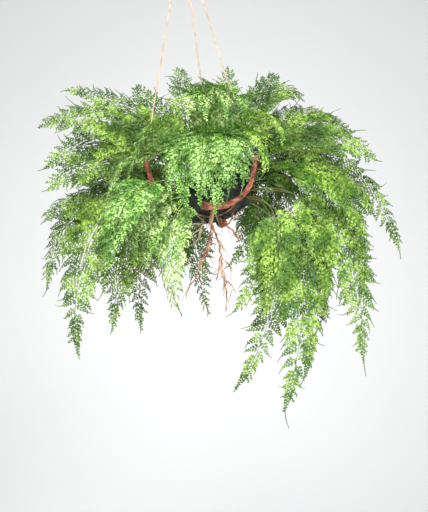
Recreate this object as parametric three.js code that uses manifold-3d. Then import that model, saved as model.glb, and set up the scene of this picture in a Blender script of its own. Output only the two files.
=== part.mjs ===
// A kokedama: a lace fern growing on a moss ball, which lies in a cradle of three twisted vines
// and hangs on three cords from one loop. Millimetres, +Z up. The origin is the inside top of the loop,
// where a hook would carry it. The front, seen along +Y, has +X to the right.
import * as THREE from 'three';
import { mergeVertices } from 'three/addons/utils/BufferGeometryUtils.js';
import Module from 'manifold-3d';

const wasm = await Module();
wasm.setup();

// ---- Driving dimensions ----
const GAP = 0.3; // clear space between pieces that rest on each other

const KNOT_DROP = 34; // from the loop's inside top down to where the cords meet
const BALL_CENTRE = new THREE.Vector3(64, 0, -575);
const BALL_SEMI_AXES = new THREE.Vector3(80, 72, 50);
const BALL_TILT = THREE.MathUtils.degToRad(-15); // about Y: its right end is the higher one
const BALL_LUMP = 0.035; // height of the moss cushions, as a share of the radius
const BALL_DETAIL = 3;

const CORD_RADIUS = 1.25;
const CORD_SIDES = 8;
const CORD_SPREAD = 2.1; // of the three cords where they leave the knot

const VINE_RADIUS = 6;
const VINE_LOBES = 3; // strands that show in the bark
const VINE_LOBE_DEPTH = 0.14;
const VINE_TWIST_PITCH = 70; // length of one turn of the strands
const VINE_SIDES = 9;
const VINE_SEAT = 0.8; // of the vines over the moss

const STEM_HALF_WIDTH = 1.5;
const STEM_HALF_THICKNESS = 1.2;
const STEM_SEAT = 9; // depth of a stem or root in the ball
const STEM_CLEAR = 0.5; // round the stems in their hole
const RIB_HALF_WIDTH = 1.5;
const RIB_HALF_THICKNESS = 0.6;
const RIB_TAPER = 0.5;
const BLADE_HALF_THICKNESS = 0.32;
const STEM_RINGS = 2;
const PAIR_PITCH = 36; // of the side branches along the rib
const LEAST_PAIRS = 5;
const MOST_PAIRS = 7;
const PAIR_CROWDING = 1.3; // above 1, pairs are closer together towards the tip
const TAIL_SHARE = 0.12; // of a blade's length, the bare thread at its tip
const TAIL_HALF_WIDTH = 0.4;
const TAIL_HALF_THICKNESS = 0.3;
const TIP_FULLNESS = 0.55; // below 1, side branches near the tip stay long
const BRANCH_LEAN = 60; // in degrees, of a side branch from the rib at the foot of the blade
const BRANCH_LEAN_LOSS = 14; // towards its tip
const BRANCH_DROOP = 0.16; // of a side branch's tip below its root, as a share of its length

// ---- The places of the horns, from the centre of the ball ----
const HORN_TIPS = {
  left: new THREE.Vector3(-141, -50, 90),
  right: new THREE.Vector3(84, -50, 76),
  back: new THREE.Vector3(0, 110, 86),
};

// ---- Materials ----
const material = (color, roughness) => new THREE.MeshStandardMaterial({ color, roughness, metalness: 0 });
const MOSS = material(0x2c3a26, 0.95);
const VINE = material(0xa4583f, 0.8);
const CORD = material(0xd8a878, 0.9);
const ROOT = material(0xb0623c, 0.85);
const PALE_ROOT = material(0xd9b48c, 0.85);
const FROND = material(0x6fae3a, 0.6);
const FRONT_FROND = material(0x86c46a, 0.6);

// ---- Solids from meshes ----
function solidOf(geometry) {
  const bare = geometry.clone();
  bare.deleteAttribute('normal');
  bare.deleteAttribute('uv');
  const merged = mergeVertices(bare, 1e-4);
  return new wasm.Manifold(new wasm.Mesh({
    numProp: 3,
    vertProperties: new Float32Array(merged.attributes.position.array),
    triVerts: new Uint32Array(merged.index.array),
  }));
}

function geometryOf(solid) {
  const mesh = solid.getMesh();
  const geometry = new THREE.BufferGeometry();
  const positions = new Float32Array(mesh.numVert * 3);
  for (let i = 0; i < mesh.numVert; i += 1) {
    for (let axis = 0; axis < 3; axis += 1) {
      positions[3 * i + axis] = mesh.vertProperties[mesh.numProp * i + axis];
    }
  }
  geometry.setAttribute('position', new THREE.BufferAttribute(positions, 3));
  geometry.setIndex(Array.from(mesh.triVerts));
  geometry.computeVertexNormals();
  return geometry;
}

function geometryFrom(points, triangles) {
  const geometry = new THREE.BufferGeometry();
  geometry.setAttribute('position', new THREE.Float32BufferAttribute(points.flatMap((p) => p.toArray()), 3));
  geometry.setIndex(triangles.flat());
  geometry.computeVertexNormals();
  return geometry;
}

// Rings of equal length, one after the other, become a closed body with flat ends.
function loftOf(rings) {
  const sides = rings[0].length;
  const triangles = [];
  for (let i = 0; i + 1 < rings.length; i += 1) {
    for (let j = 0; j < sides; j += 1) {
      const a = i * sides + j;
      const b = i * sides + ((j + 1) % sides);
      triangles.push([a, b, b + sides], [a, b + sides, a + sides]);
    }
  }
  const last = (rings.length - 1) * sides;
  for (let j = 1; j + 1 < sides; j += 1) {
    triangles.push([0, j + 1, j], [last, last + j, last + j + 1]);
  }
  return geometryFrom(rings.flat(), triangles);
}

// A tube along a curve. sectionAt(share, angle, length) gives its radius, and its frame follows the curve.
function tubeOf(curve, steps, sides, sectionAt) {
  const frames = curve.computeFrenetFrames(steps, false);
  const total = curve.getLength();
  const rings = [];
  for (let i = 0; i <= steps; i += 1) {
    const share = i / steps;
    const centre = curve.getPointAt(share);
    const ring = [];
    for (let j = 0; j < sides; j += 1) {
      const angle = (2 * Math.PI * j) / sides;
      const radius = sectionAt(share, angle, share * total);
      ring.push(centre.clone()
        .addScaledVector(frames.normals[i], radius * Math.cos(angle))
        .addScaledVector(frames.binormals[i], radius * Math.sin(angle)));
    }
    rings.push(ring);
  }
  return loftOf(rings);
}

const curveThrough = (points) => new THREE.CatmullRomCurve3(points.map((p) => new THREE.Vector3(...p)), false,
  'centripetal');

// ---- The moss ball ----
const ballTurn = new THREE.Quaternion().setFromAxisAngle(new THREE.Vector3(0, 1, 0), BALL_TILT);
const ballTurnBack = ballTurn.clone().invert();

// The surface of the ball, from its centre, in a given direction.
function ballPoint(direction) {
  const local = direction.clone().normalize().applyQuaternion(ballTurnBack);
  const scaled = local.clone().divide(BALL_SEMI_AXES);
  const azimuth = Math.atan2(local.y, local.x);
  const lumps = Math.sin(3 * azimuth + 1.1) * Math.cos(4 * local.z)
    + 0.7 * Math.sin(5 * azimuth - 0.6) * Math.sin(5 * local.z + 0.8)
    + 0.5 * Math.cos(8 * azimuth) * Math.cos(9 * local.z);
  const radius = (1 + BALL_LUMP * lumps * (1 - local.z * local.z)) / scaled.length();
  return direction.clone().setLength(radius);
}

function ballSolid() {
  const geometry = new THREE.IcosahedronGeometry(1, BALL_DETAIL);
  const position = geometry.attributes.position;
  for (let i = 0; i < position.count; i += 1) {
    const point = ballPoint(new THREE.Vector3().fromBufferAttribute(position, i));
    position.setXYZ(i, point.x, point.y, point.z);
  }
  return solidOf(geometry);
}

// ---- Vines ----
// A vine's route from the cut end to the horn's tip. A point with a height only lies on the ball there.
function onBall(x, y, z, above) {
  const surface = ballPoint(new THREE.Vector3(x, y, z));
  return surface.setLength(surface.length() + above).toArray();
}

const OVER_MOSS = VINE_RADIUS * (1 + VINE_LOBE_DEPTH) + VINE_SEAT;
const VINE_ROUTES = {
  right: [
    onBall(-22, -72, -20, OVER_MOSS),
    onBall(2, -70, -22, OVER_MOSS),
    onBall(26, -66, -18, OVER_MOSS + 0.2),
    onBall(46, -52, -5, OVER_MOSS),
    onBall(62, -42, 14, OVER_MOSS + 4),
    [79, -48, 40],
    [83, -50, 60],
    HORN_TIPS.right.clone().add(new THREE.Vector3(0, 0, 8)).toArray(),
  ],
  left: [
    onBall(-54, -38, -48, OVER_MOSS),
    onBall(-70, -36, -40, OVER_MOSS),
    onBall(-84, -36, -20, OVER_MOSS + 4),
    [-114, -42, 8],
    [-130, -46, 50],
    HORN_TIPS.left.clone().add(new THREE.Vector3(-2, 0, 8)).toArray(),
  ],
  back: [
    onBall(24, -30, -60, OVER_MOSS + 0.8),
    onBall(20, -4, -60, OVER_MOSS + 0.6),
    onBall(12, 28, -50, OVER_MOSS + 0.4),
    onBall(6, 58, -24, OVER_MOSS + 0.4),
    [2, 90, 14],
    [0, 103, 50],
    HORN_TIPS.back.clone().add(new THREE.Vector3(0, 1, 8)).toArray(),
  ],
};
const VINE_STEPS = 16;

// Twisted strands show as lobes. They fade at the horn's tip, where the cord is wound round it.
function vineRadius(share, angle, length) {
  const fade = Math.min(1, Math.max(0, (0.86 - share) / 0.08));
  const turn = VINE_LOBES * (angle + (2 * Math.PI * length) / VINE_TWIST_PITCH);
  const taper = 1 - 0.22 * share;
  return VINE_RADIUS * taper * (1 + VINE_LOBE_DEPTH * fade * Math.cos(turn));
}

function vineSolid(name) {
  return solidOf(tubeOf(curveThrough(VINE_ROUTES[name]), VINE_STEPS, VINE_SIDES, vineRadius));
}

// The thin strand that leaves the right vine and runs on under the front of the ball.
const STRAND_RADIUS = 1.7;
function strandSolid() {
  const above = STRAND_RADIUS + VINE_SEAT + GAP;
  const route = [
    onBall(44, -50, -6, above + 1),
    onBall(36, -50, -24, above),
    onBall(16, -48, -38, above),
    onBall(-6, -44, -42, above),
    onBall(-30, -50, -38, above),
    onBall(-42, -52, -26, above),
  ];
  return solidOf(tubeOf(curveThrough(route), 12, 6, () => STRAND_RADIUS));
}

// ---- Cords, hitches and the gathering knot, still from the centre of the ball ----
const KNOT_CENTRE = new THREE.Vector3(0, 0, -KNOT_DROP).sub(BALL_CENTRE);
const KNOT_RADIUS = 5.5;
const HITCH_HALF_HEIGHT = 5;
const HITCH_RADIUS = 7.4;
const HORN_TIP_RADIUS = VINE_RADIUS * 0.82;

// A hitch is three turns of cord wound tight round the horn, as one ring.
function hitchSolid(name) {
  const inside = HORN_TIP_RADIUS + GAP;
  const profile = [
    [inside, -HITCH_HALF_HEIGHT],
    [HITCH_RADIUS, -0.7 * HITCH_HALF_HEIGHT],
    [HITCH_RADIUS, 0.7 * HITCH_HALF_HEIGHT],
    [inside, HITCH_HALF_HEIGHT],
    [inside, -HITCH_HALF_HEIGHT],
  ].map(([x, y]) => new THREE.Vector2(x, y));
  const geometry = new THREE.LatheGeometry(profile, 10);
  geometry.rotateX(Math.PI / 2);
  const curve = curveThrough(VINE_ROUTES[name]);
  const along = curve.getTangentAt(0.955);
  const place = curve.getPointAt(0.955);
  geometry.applyQuaternion(new THREE.Quaternion().setFromUnitVectors(new THREE.Vector3(0, 0, 1), along));
  geometry.translate(place.x, place.y, place.z);
  return { solid: solidOf(geometry), place };
}

// A cord runs straight, under load, from the side of its hitch to the underside of the knot.
function cordSolid(hitchPlace) {
  const toKnot = KNOT_CENTRE.clone().sub(hitchPlace);
  const aside = new THREE.Vector3(-toKnot.x, -toKnot.y, 0).normalize();
  const top = KNOT_CENTRE.clone().addScaledVector(aside, CORD_SPREAD);
  top.z -= KNOT_RADIUS;
  const inward = aside.clone().negate();
  const foot = hitchPlace.clone().addScaledVector(inward, HITCH_RADIUS + CORD_RADIUS + GAP);
  const curve = new THREE.LineCurve3(foot, top);
  return solidOf(tubeOf(curve, 2, CORD_SIDES, () => CORD_RADIUS));
}

function knotSolid() {
  const knot = new THREE.IcosahedronGeometry(KNOT_RADIUS, 1);
  knot.translate(KNOT_CENTRE.x, KNOT_CENTRE.y, KNOT_CENTRE.z);
  const inside = KNOT_DROP;
  const route = [
    [0, 0, 0], [5, 0, 0.25 * inside], [8, 0, 0.55 * inside], [6, 0, 0.86 * inside],
    [0, 0, inside + CORD_RADIUS],
    [-6, 0, 0.86 * inside], [-8, 0, 0.55 * inside], [-5, 0, 0.25 * inside], [0, 0, 0],
  ].map(([x, y, z]) => [x + KNOT_CENTRE.x, y + KNOT_CENTRE.y, z + KNOT_CENTRE.z]);
  const half = Math.ceil(route.length / 2);
  const up = curveThrough(route.slice(0, half));
  const down = curveThrough(route.slice(half - 1));
  const rise = solidOf(tubeOf(up, 6, 6, () => CORD_RADIUS));
  const fall = solidOf(tubeOf(down, 6, 6, () => CORD_RADIUS));
  return solidOf(knot).add(rise).add(fall);
}

// ---- Roots ----
// The first two points of a root that leaves the ball: in its hole, and just outside.
const ROOT_CLEAR = 4;
const outOfMoss = (x, y, z) => [onBall(x, y, z, -STEM_SEAT), onBall(x, y, z, ROOT_CLEAR)];

// Each root is [radius at its start, radius at its end, points]. The first one of a bunch leaves the ball.
const ROOT_BUNCHES = {
  roots_front: [
    [2.3, 1.5, [...outOfMoss(-2, -66, -30), [-3, -68, -41], [-4, -64, -59], [4, -62, -78], [10, -62, -92],
      [14, -60, -113], [18, -60, -128]]],
    [1.4, 0.9, [[16, -60, -120], [10, -62, -154], [6, -62, -170]]],
    [1.5, 0.8, [[17, -60, -126], [19, -56, -164], [25, -55, -187], [27, -56, -213], [24, -57, -232]]],
    [1.2, 0.8, [[17, -60, -124], [31, -64, -137], [37, -66, -152]]],
    [1.2, 0.8, [[18, -57, -160], [27, -60, -170], [35, -62, -178], [46, -64, -194]]],
    [1.2, 0.8, [[10, -62, -90], [20, -68, -104], [31, -72, -123]]],
    [1.6, 0.8, [[-4, -64, -62], [-8, -60, -102], [-23, -58, -129], [-35, -60, -162], [-51, -62, -189],
      [-55, -63, -207]]],
    [1.2, 0.8, [[-4, -62, -80], [-14, -50, -118], [-16, -46, -150]]],
  ],
  roots_right: [
    [2.0, 1.2, [...outOfMoss(12, -34, -50), [18, -46, -57], [26, -54, -60], [41, -58, -72], [46, -60, -82],
      [61, -62, -88]]],
    [1.1, 0.8, [[44, -59, -78], [51, -66, -78], [56, -70, -72]]],
    [1.2, 0.8, [[26, -54, -60], [33, -68, -52], [39, -79, -35]]],
    [1.1, 0.8, [[33, -68, -52], [43, -76, -42], [48, -80, -32]]],
  ],
  roots_pale: [
    [1.7, 0.9, [...outOfMoss(-20, -36, -46), [-20, -50, -56], [-29, -62, -57], [-44, -66, -57]]],
    [1.3, 0.8, [[-20, -50, -56], [-24, -58, -64], [-31, -62, -71], [-43, -64, -79]]],
    [1.2, 0.8, [[-24, -58, -64], [-29, -56, -84], [-41, -56, -98], [-55, -58, -99]]],
  ],
  roots_left: [
    [2.0, 1.2, [...outOfMoss(-60, 8, -42), [-84, -8, -66], [-109, -30, -90], [-129, -48, -113],
      [-154, -60, -150], [-190, -66, -176]]],
    [1.3, 0.8, [[-84, -8, -66], [-100, -24, -104], [-118, -36, -132], [-140, -44, -166]]],
  ],
};
const ROOT_SIDES = 4;

// A root bends at its points, with a ring of corners at each.
function rootTube([startRadius, endRadius, points]) {
  const curve = curveThrough(points);
  const rings = [];
  let along = curve.getTangent(0);
  const normal = new THREE.Vector3(0, 0, 1).cross(along).normalize();
  points.forEach((point, i) => {
    const share = i / (points.length - 1);
    const next = curve.getTangent(share);
    normal.applyQuaternion(new THREE.Quaternion().setFromUnitVectors(along, next));
    along = next;
    const binormal = along.clone().cross(normal);
    const radius = startRadius + (endRadius - startRadius) * share;
    rings.push(Array.from({ length: ROOT_SIDES }, (_, j) => {
      const angle = (2 * Math.PI * j) / ROOT_SIDES;
      return new THREE.Vector3(...point)
        .addScaledVector(normal, radius * Math.cos(angle))
        .addScaledVector(binormal, radius * Math.sin(angle));
    }));
  });
  return solidOf(loftOf(rings));
}

function rootSolid(bunch) {
  return bunch.map(rootTube).reduce((whole, tube) => whole.add(tube));
}

// ---- Fronds ----
// A frond is one spray of leaflets: a stem, a rib and leafy side branches cut to the rib, in one thin
// arched blade. Its line leaves the ball towards the bend and ends at the tip. A crown is the one to six
// fronds that grow from one point, and is one piece.
// [tip x, y, z, bend x, y, z, half width, roll in degrees, stem's share], from the centre of the ball.
const FRONT_CROWNS = [
  [[-92, -140, -30, -80, -110, 220, 70, 12, 0.28], [-58, -164, -48, -54, -142, 200, 76, 6, 0.28],
    [-24, -196, -34, -18, -156, 216, 72, 4, 0.28], [6, -178, -50, 6, -148, 206, 74, -2, 0.28],
    [34, -194, -14, 26, -154, 220, 70, -4, 0.28], [62, -160, 4, 52, -126, 210, 58, -6, 0.28]],
  [[-52, -104, 144, -36, -56, 290, 56, -6, 0.14], [-20, -118, 140, -12, -60, 300, 58, 0, 0.14],
    [26, -114, 146, 16, -56, 310, 58, 0, 0.14], [64, -106, 144, 44, -60, 290, 56, 6, 0.14],
    [4, -100, 180, 4, -60, 290, 54, 0, 0.14]],
  [[104, -150, 30, 90, -110, 210, 56, -8, 0.28]],
  [[140, -140, 90, 110, -90, 240, 56, -14, 0.26]],
  [[-95, -196, -132, -104, -206, 60, 60, 10, 0.24]],
  [[-174, -200, -78, -160, -170, 150, 64, -22, 0.26], [-136, -180, 0, -110, -150, 190, 58, -10, 0.26]],
  [[-72, -140, -240, -106, -150, -10, 78, 14, 0.28], [-130, -120, -150, -130, -120, 30, 60, -10, 0.3]],
  [[-150, -140, 80, -110, -90, 220, 58, -20, 0.26]],
];
const SIDE_CROWNS = [
  // the left
  [[-299, -40, 215, -150, -20, 205, 54, -62, 0.3]],
  [[-353, -60, 137, -200, -40, 210, 74, -55, 0.28]],
  [[-332, -122, 53, -190, -80, 180, 68, -45, 0.28], [-236, -150, 10, -160, -110, 150, 58, -30, 0.26]],
  [[-340, -30, 12, -230, -20, 110, 64, -60, 0.3]],
  [[-352, -10, -48, -260, 10, 70, 68, -66, 0.3]],
  [[-340, -90, -199, -310, -70, 70, 76, -55, 0.34]],
  [[-266, -124, -324, -290, -120, 30, 78, -50, 0.4], [-210, -140, -200, -220, -120, 60, 62, -30, 0.38]],
  [[-236, -190, -152, -220, -170, 90, 66, -30, 0.3]],
  [[-201, -84, -279, -180, -90, 0, 70, -35, 0.36]],
  [[-156, 40, -285, -160, 40, -20, 64, -70, 0.36]],
  [[-12, 92, -252, -60, 110, -30, 54, 0, 0.36]],
  // the right
  [[40, -76, -240, 176, -72, -10, 62, 76, 0.42]],
  [[49, -30, -405, 220, -20, -50, 74, 76, 0.42]],
  [[137, -110, -439, 246, -100, -20, 84, 70, 0.42], [96, -130, -250, 170, -120, 10, 66, 60, 0.42]],
  [[185, 10, -383, 266, 0, 30, 78, 60, 0.4]],
  [[240, 110, -301, 270, 120, 50, 74, 50, 0.38]],
  [[289, -112, -342, 310, -100, 40, 82, 50, 0.4], [214, -130, -220, 240, -110, 50, 66, 40, 0.38]],
  [[316, 20, -234, 310, 20, 100, 76, 55, 0.34]],
  [[285, -152, -133, 250, -130, 140, 72, 35, 0.3], [200, -150, -60, 180, -120, 130, 62, 20, 0.3]],
  [[390, -30, -121, 300, -30, 130, 70, 60, 0.3]],
  [[349, 90, -45, 270, 70, 130, 70, 50, 0.28]],
  [[328, -60, 64, 220, -50, 180, 72, 50, 0.28], [250, -110, 70, 170, -80, 180, 60, 40, 0.26]],
  [[300, 60, 130, 190, 50, 214, 70, 60, 0.28]],
  [[270, -40, 160, 150, -20, 226, 66, 60, 0.28]],
  // the top
  [[193, 30, 205, 100, 20, 235, 60, 45, 0.26], [130, 20, 254, 94, 0, 180, 54, 24, 0.26]],
  [[36, 84, 282, 26, 50, 200, 54, 0, 0.26], [-30, 70, 250, -20, 40, 180, 54, 0, 0.24]],
  [[-84, 40, 278, -60, -30, 190, 58, 0, 0.26], [-172, -6, 238, -116, -30, 160, 56, -30, 0.26]],
  // the back
  [[112, 170, -250, 130, 190, 0, 64, 16, 0.36]],
  [[-250, 180, 150, -140, 110, 215, 66, -20, 0.28]],
  [[-300, 160, -60, -220, 120, 130, 68, -20, 0.28]],
  [[-200, 230, -210, -210, 220, 50, 70, -10, 0.36]],
  [[-90, 290, 80, -50, 170, 210, 66, 6, 0.28]],
  [[-60, 290, -150, -50, 250, 80, 66, 0, 0.34]],
  [[90, 300, -20, 80, 220, 160, 68, 0, 0.3]],
  [[150, 250, 130, 80, 150, 220, 64, 10, 0.28]],
  [[250, 200, -40, 190, 150, 150, 66, 20, 0.3]],
  [[170, 240, -210, 190, 230, 50, 68, 10, 0.36]],
];

// A side crown of one long frond has a short inner one too, which fills the space near the ball. A crown
// with its tip far in front, or near the middle of the ball, has none.
const INNER_TURN = THREE.MathUtils.degToRad(16); // to either side by turns
const INNER_REACH = 0.58; // of the long frond's, from the middle of the ball
const INNER_HALF_WIDTH = 52;
const INNER_STEM_SHARE = 0.2;
const FURTHEST_FORWARD = -100;
const LEAST_ASIDE = 45;
function withInner(crown, i) {
  const [tipX, tipY, tipZ, bendX, bendY, bendZ, , roll] = crown[0];
  if (crown.length > 1 || tipY < FURTHEST_FORWARD || Math.abs(tipX) < LEAST_ASIDE) {
    return crown;
  }
  const turn = i % 2 === 0 ? INNER_TURN : -INNER_TURN;
  const around = (x, y, z) => new THREE.Vector3(x, y, 0).multiplyScalar(INNER_REACH)
    .applyAxisAngle(new THREE.Vector3(0, 0, 1), turn).setZ(z).toArray();
  return [crown[0], [...around(tipX, tipY, 0.4 * tipZ + 10), ...around(bendX, bendY, 0.7 * bendZ + 40),
    INNER_HALF_WIDTH, roll, INNER_STEM_SHARE]];
}

// What may change to bend a frond clear of the ones before it, the smallest change first.
const TURNS = [0, 6, -6, 12, -12, 18, -18];
const LIFTS = [0, 22, -22, 44, -44];
const ROLLS = [0, 20, -20, 40, -40];
const BENDS = TURNS.flatMap((turn) => LIFTS.flatMap((lift) => ROLLS.map((roll) => ({ turn, lift, roll }))))
  .sort((a, b) => bendCost(a) - bendCost(b));

function bendCost({ turn, lift, roll }) {
  return Math.abs(turn) / 6 + Math.abs(lift) / 22 + Math.abs(roll) / 26;
}

// The lines of a crown's fronds, with its bend applied: curves from one point in the ball to the tips.
function crownLines(crown, bend) {
  const turn = THREE.MathUtils.degToRad(bend.turn);
  const turned = (x, y, z) => new THREE.Vector3(x, y, z).applyAxisAngle(new THREE.Vector3(0, 0, 1), turn);
  const tips = crown.map((row) => turned(...row.slice(0, 3)));
  const crests = crown.map((row) => turned(...row.slice(3, 6)).add(new THREE.Vector3(0, 0, bend.lift)));
  const middle = crests.reduce((sum, crest) => sum.add(crest), new THREE.Vector3());
  const surface = ballPoint(middle);
  const start = surface.clone().setLength(surface.length() - STEM_SEAT);
  return crests.map((crest, i) => new THREE.QuadraticBezierCurve3(start, crest, tips[i]));
}

// The frame at a share of the line: along it, across the blade, and out of its upper face.
function frondFrame(line, share, roll, stemShare) {
  const along = line.getTangent(share);
  const across = line.v2.clone().sub(line.v0).cross(line.v1.clone().sub(line.v0)).normalize();
  const eased = THREE.MathUtils.smoothstep(share, 0, stemShare);
  across.applyAxisAngle(along, THREE.MathUtils.degToRad(roll) * eased);
  const out = across.clone().cross(along).normalize();
  return { centre: line.getPoint(share), along, across, out };
}

// The three corners of the stem or rib: upper left, upper right, and the keel below.
function frondRing({ centre, across, out }, halfWidth, halfThickness) {
  const corner = (x, y) => centre.clone().addScaledVector(across, x).addScaledVector(out, y);
  return [corner(-halfWidth, halfThickness), corner(halfWidth, halfThickness), corner(0, -halfThickness)];
}

// How long a side branch is, as a share of the half width, by its place along the blade.
const branchShare = (u) => Math.min(0.9 + 1.5 * u, 1.05 * (1 - u) ** TIP_FULLNESS);

// Adds one side branch between two rings: a pointed leaf as broad as their distance, which droops a little.
function addBranch(points, triangles, [near, far], frame, side, length) {
  const [edge, keel] = side < 0 ? [0, 2] : [1, 2];
  const base = [near + edge, far + edge, near + keel, far + keel];
  const root = base.reduce((sum, i) => sum.add(points[i]), new THREE.Vector3()).divideScalar(base.length);
  const lean = THREE.MathUtils.degToRad(BRANCH_LEAN - BRANCH_LEAN_LOSS * frame.u);
  const tip = root.addScaledVector(frame.across, side * length * Math.sin(lean))
    .addScaledVector(frame.along, length * Math.cos(lean))
    .addScaledVector(frame.out, -BRANCH_DROOP * length);
  const upper = points.push(tip.clone().addScaledVector(frame.out, BLADE_HALF_THICKNESS)) - 1;
  const lower = points.push(tip.clone().addScaledVector(frame.out, -BLADE_HALF_THICKNESS)) - 1;
  const [nearEdge, farEdge, nearKeel, farKeel] = base;
  const faces = [
    [nearEdge, upper, farEdge], [nearKeel, farKeel, lower],
    [nearEdge, nearKeel, lower], [nearEdge, lower, upper],
    [farEdge, upper, lower], [farEdge, lower, farKeel],
  ];
  faces.forEach(([a, b, c]) => triangles.push(side > 0 ? [a, b, c] : [a, c, b]));
}

const pairCount = (bladeLength) => (
  Math.max(LEAST_PAIRS, Math.min(MOST_PAIRS, Math.round(bladeLength / PAIR_PITCH))));

function frondGeometry(line, row, bend) {
  const [halfWidth, baseRoll, stemShare] = row.slice(6);
  const roll = baseRoll + bend.roll;
  const frameAt = (share) => frondFrame(line, share, roll, stemShare);
  const pairs = pairCount(line.getLength() * (1 - stemShare));
  const points = [];
  const triangles = [];
  for (let i = 0; i < STEM_RINGS; i += 1) {
    points.push(...frondRing(frameAt((stemShare * i) / STEM_RINGS), STEM_HALF_WIDTH, STEM_HALF_THICKNESS));
  }
  const frames = Array.from({ length: pairs + 1 }, (_, i) => {
    const u = (1 - TAIL_SHARE) * (1 - (1 - i / pairs) ** PAIR_CROWDING);
    return { ...frameAt(stemShare + (1 - stemShare) * u), u };
  });
  frames.forEach((frame) => {
    const slim = 1 - RIB_TAPER * frame.u;
    points.push(...frondRing(frame, RIB_HALF_WIDTH * slim, RIB_HALF_THICKNESS * slim));
  });
  points.push(...frondRing(frameAt(1), TAIL_HALF_WIDTH, TAIL_HALF_THICKNESS));
  const last = points.length - 3;
  for (let ring = 0; ring < last; ring += 3) {
    const pair = ring / 3 - STEM_RINGS;
    const next = ring + 3;
    triangles.push([ring, ring + 1, next + 1], [ring, next + 1, next]);
    if (pair >= 0 && pair < pairs) {
      const length = halfWidth * branchShare(frames[pair].u);
      addBranch(points, triangles, [ring, next], frames[pair], -1, length);
      addBranch(points, triangles, [ring, next], frames[pair], 1, length);
    } else {
      triangles.push([ring + 1, ring + 2, next + 2], [ring + 1, next + 2, next + 1]);
      triangles.push([ring + 2, ring, next], [ring + 2, next, next + 2]);
    }
  }
  triangles.push([0, 2, 1], [last, last + 1, last + 2]);
  return geometryFrom(points, triangles);
}

const LEAST_OVERLAP = 1e-6;

function boxesMeet(a, b) {
  return [0, 1, 2].every((k) => a.min[k] < b.max[k] && b.min[k] < a.max[k]);
}

function overlapWith(solid, others) {
  const box = solid.boundingBox();
  return others.reduce((sum, other) => (
    boxesMeet(box, other.box) ? sum + solid.intersect(other.solid).volume() : sum), 0);
}

// The fronds of a crown are one solid. Where they meet, they are fused.
function crownSolid(crown, bend) {
  return crownLines(crown, bend)
    .map((line, i) => solidOf(frondGeometry(line, crown[i], bend)))
    .reduce((whole, frond) => whole.add(frond));
}

// The first bend that keeps a crown clear of all that is there, or else the one that crosses least.
function clearCrown(crown, others) {
  let best = null;
  for (const bend of BENDS) {
    const solid = crownSolid(crown, bend);
    const overlap = overlapWith(solid, others);
    if (best === null || overlap < best.overlap) {
      best = { solid, overlap, bend };
    }
    if (overlap < LEAST_OVERLAP) {
      break;
    }
  }
  return best;
}

// One plain hole for a crown's stems: a square-cornered slot round their first straight lengths.
function stemHole(crown, bend) {
  const ends = crownLines(crown, bend).flatMap((line, i) => {
    const [, roll, stemShare] = crown[i].slice(6);
    return [0, stemShare / STEM_RINGS].map((share) => frondFrame(line, share, roll + bend.roll, stemShare));
  });
  const corners = ends.flatMap((frame) => frondRing(frame, STEM_HALF_WIDTH, STEM_HALF_THICKNESS));
  const outward = ends.reduce((sum, frame) => sum.add(frame.along), new THREE.Vector3()).normalize();
  const apart = ends[ends.length - 1].centre.clone().sub(ends[1].centre);
  const wide = (ends.length > 2 ? apart : ends[0].across.clone()).projectOnPlane(outward).normalize();
  const slim = outward.clone().cross(wide);
  const [[low, high], [left, right], [near, far]] = [outward, wide, slim].map((axis) => {
    const reach = corners.map((corner) => corner.dot(axis));
    return [Math.min(...reach) - STEM_CLEAR, Math.max(...reach) + STEM_CLEAR];
  });
  const ring = (height) => [[left, near], [right, near], [right, far], [left, far]].map(([x, y]) => (
    new THREE.Vector3().addScaledVector(outward, height).addScaledVector(wide, x).addScaledVector(slim, y)));
  return solidOf(loftOf([ring(low), ring(high)]));
}

// ---- The whole plant ----
const plant = new THREE.Group();
plant.position.copy(BALL_CENTRE);

function add(name, solid, look) {
  const mesh = new THREE.Mesh(geometryOf(solid), look);
  mesh.name = name;
  plant.add(mesh);
}

const placed = [];
function place(name, solid, look) {
  add(name, solid, look);
  placed.push({ name, solid, box: solid.boundingBox() });
}

place('vine_right', vineSolid('right').add(strandSolid()), VINE);
place('vine_left', vineSolid('left'), VINE);
place('vine_back', vineSolid('back'), VINE);
for (const name of Object.keys(HORN_TIPS)) {
  const hitch = hitchSolid(name);
  place(`hitch_${name}`, hitch.solid, CORD);
  place(`cord_${name}`, cordSolid(hitch.place), CORD);
}
place('gathering_knot', knotSolid(), CORD);
for (const [name, bunch] of Object.entries(ROOT_BUNCHES)) {
  place(name, rootSolid(bunch), name === 'roots_pale' ? PALE_ROOT : ROOT);
}

const holes = [];
[...FRONT_CROWNS, ...SIDE_CROWNS.map(withInner)].forEach((crown, i) => {
  const found = clearCrown(crown, placed);
  const name = `frond_${String(i + 1).padStart(2, '0')}`;
  place(name, found.solid, i < FRONT_CROWNS.length ? FRONT_FROND : FROND);
  holes.push(stemHole(crown, found.bend));
  if (found.overlap > LEAST_OVERLAP) {
    throw new Error(`${name} crosses another piece by ${found.overlap.toFixed(3)} cubic mm`);
  }
});

// Each root bunch stands in a hole of its first root's size.
const rootHoles = Object.values(ROOT_BUNCHES).map(([[radius, , points]]) => {
  const [inside, outside] = points.slice(0, 2).map((p) => new THREE.Vector3(...p));
  const along = outside.clone().sub(inside).normalize();
  const hole = new THREE.LineCurve3(inside.addScaledVector(along, -GAP), outside);
  return solidOf(tubeOf(hole, 1, ROOT_SIDES, () => radius + 2 * GAP));
});

const ball = [...holes, ...rootHoles].reduce((solid, hole) => solid.subtract(hole), ballSolid());
const inBall = placed.filter(({ solid }) => solid.intersect(ball).volume() > LEAST_OVERLAP);
if (inBall.length > 0) {
  throw new Error(`${inBall.map(({ name }) => name).join(', ')} crosses the ball`);
}
add('moss_ball', ball, MOSS);

export default plant;
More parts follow.
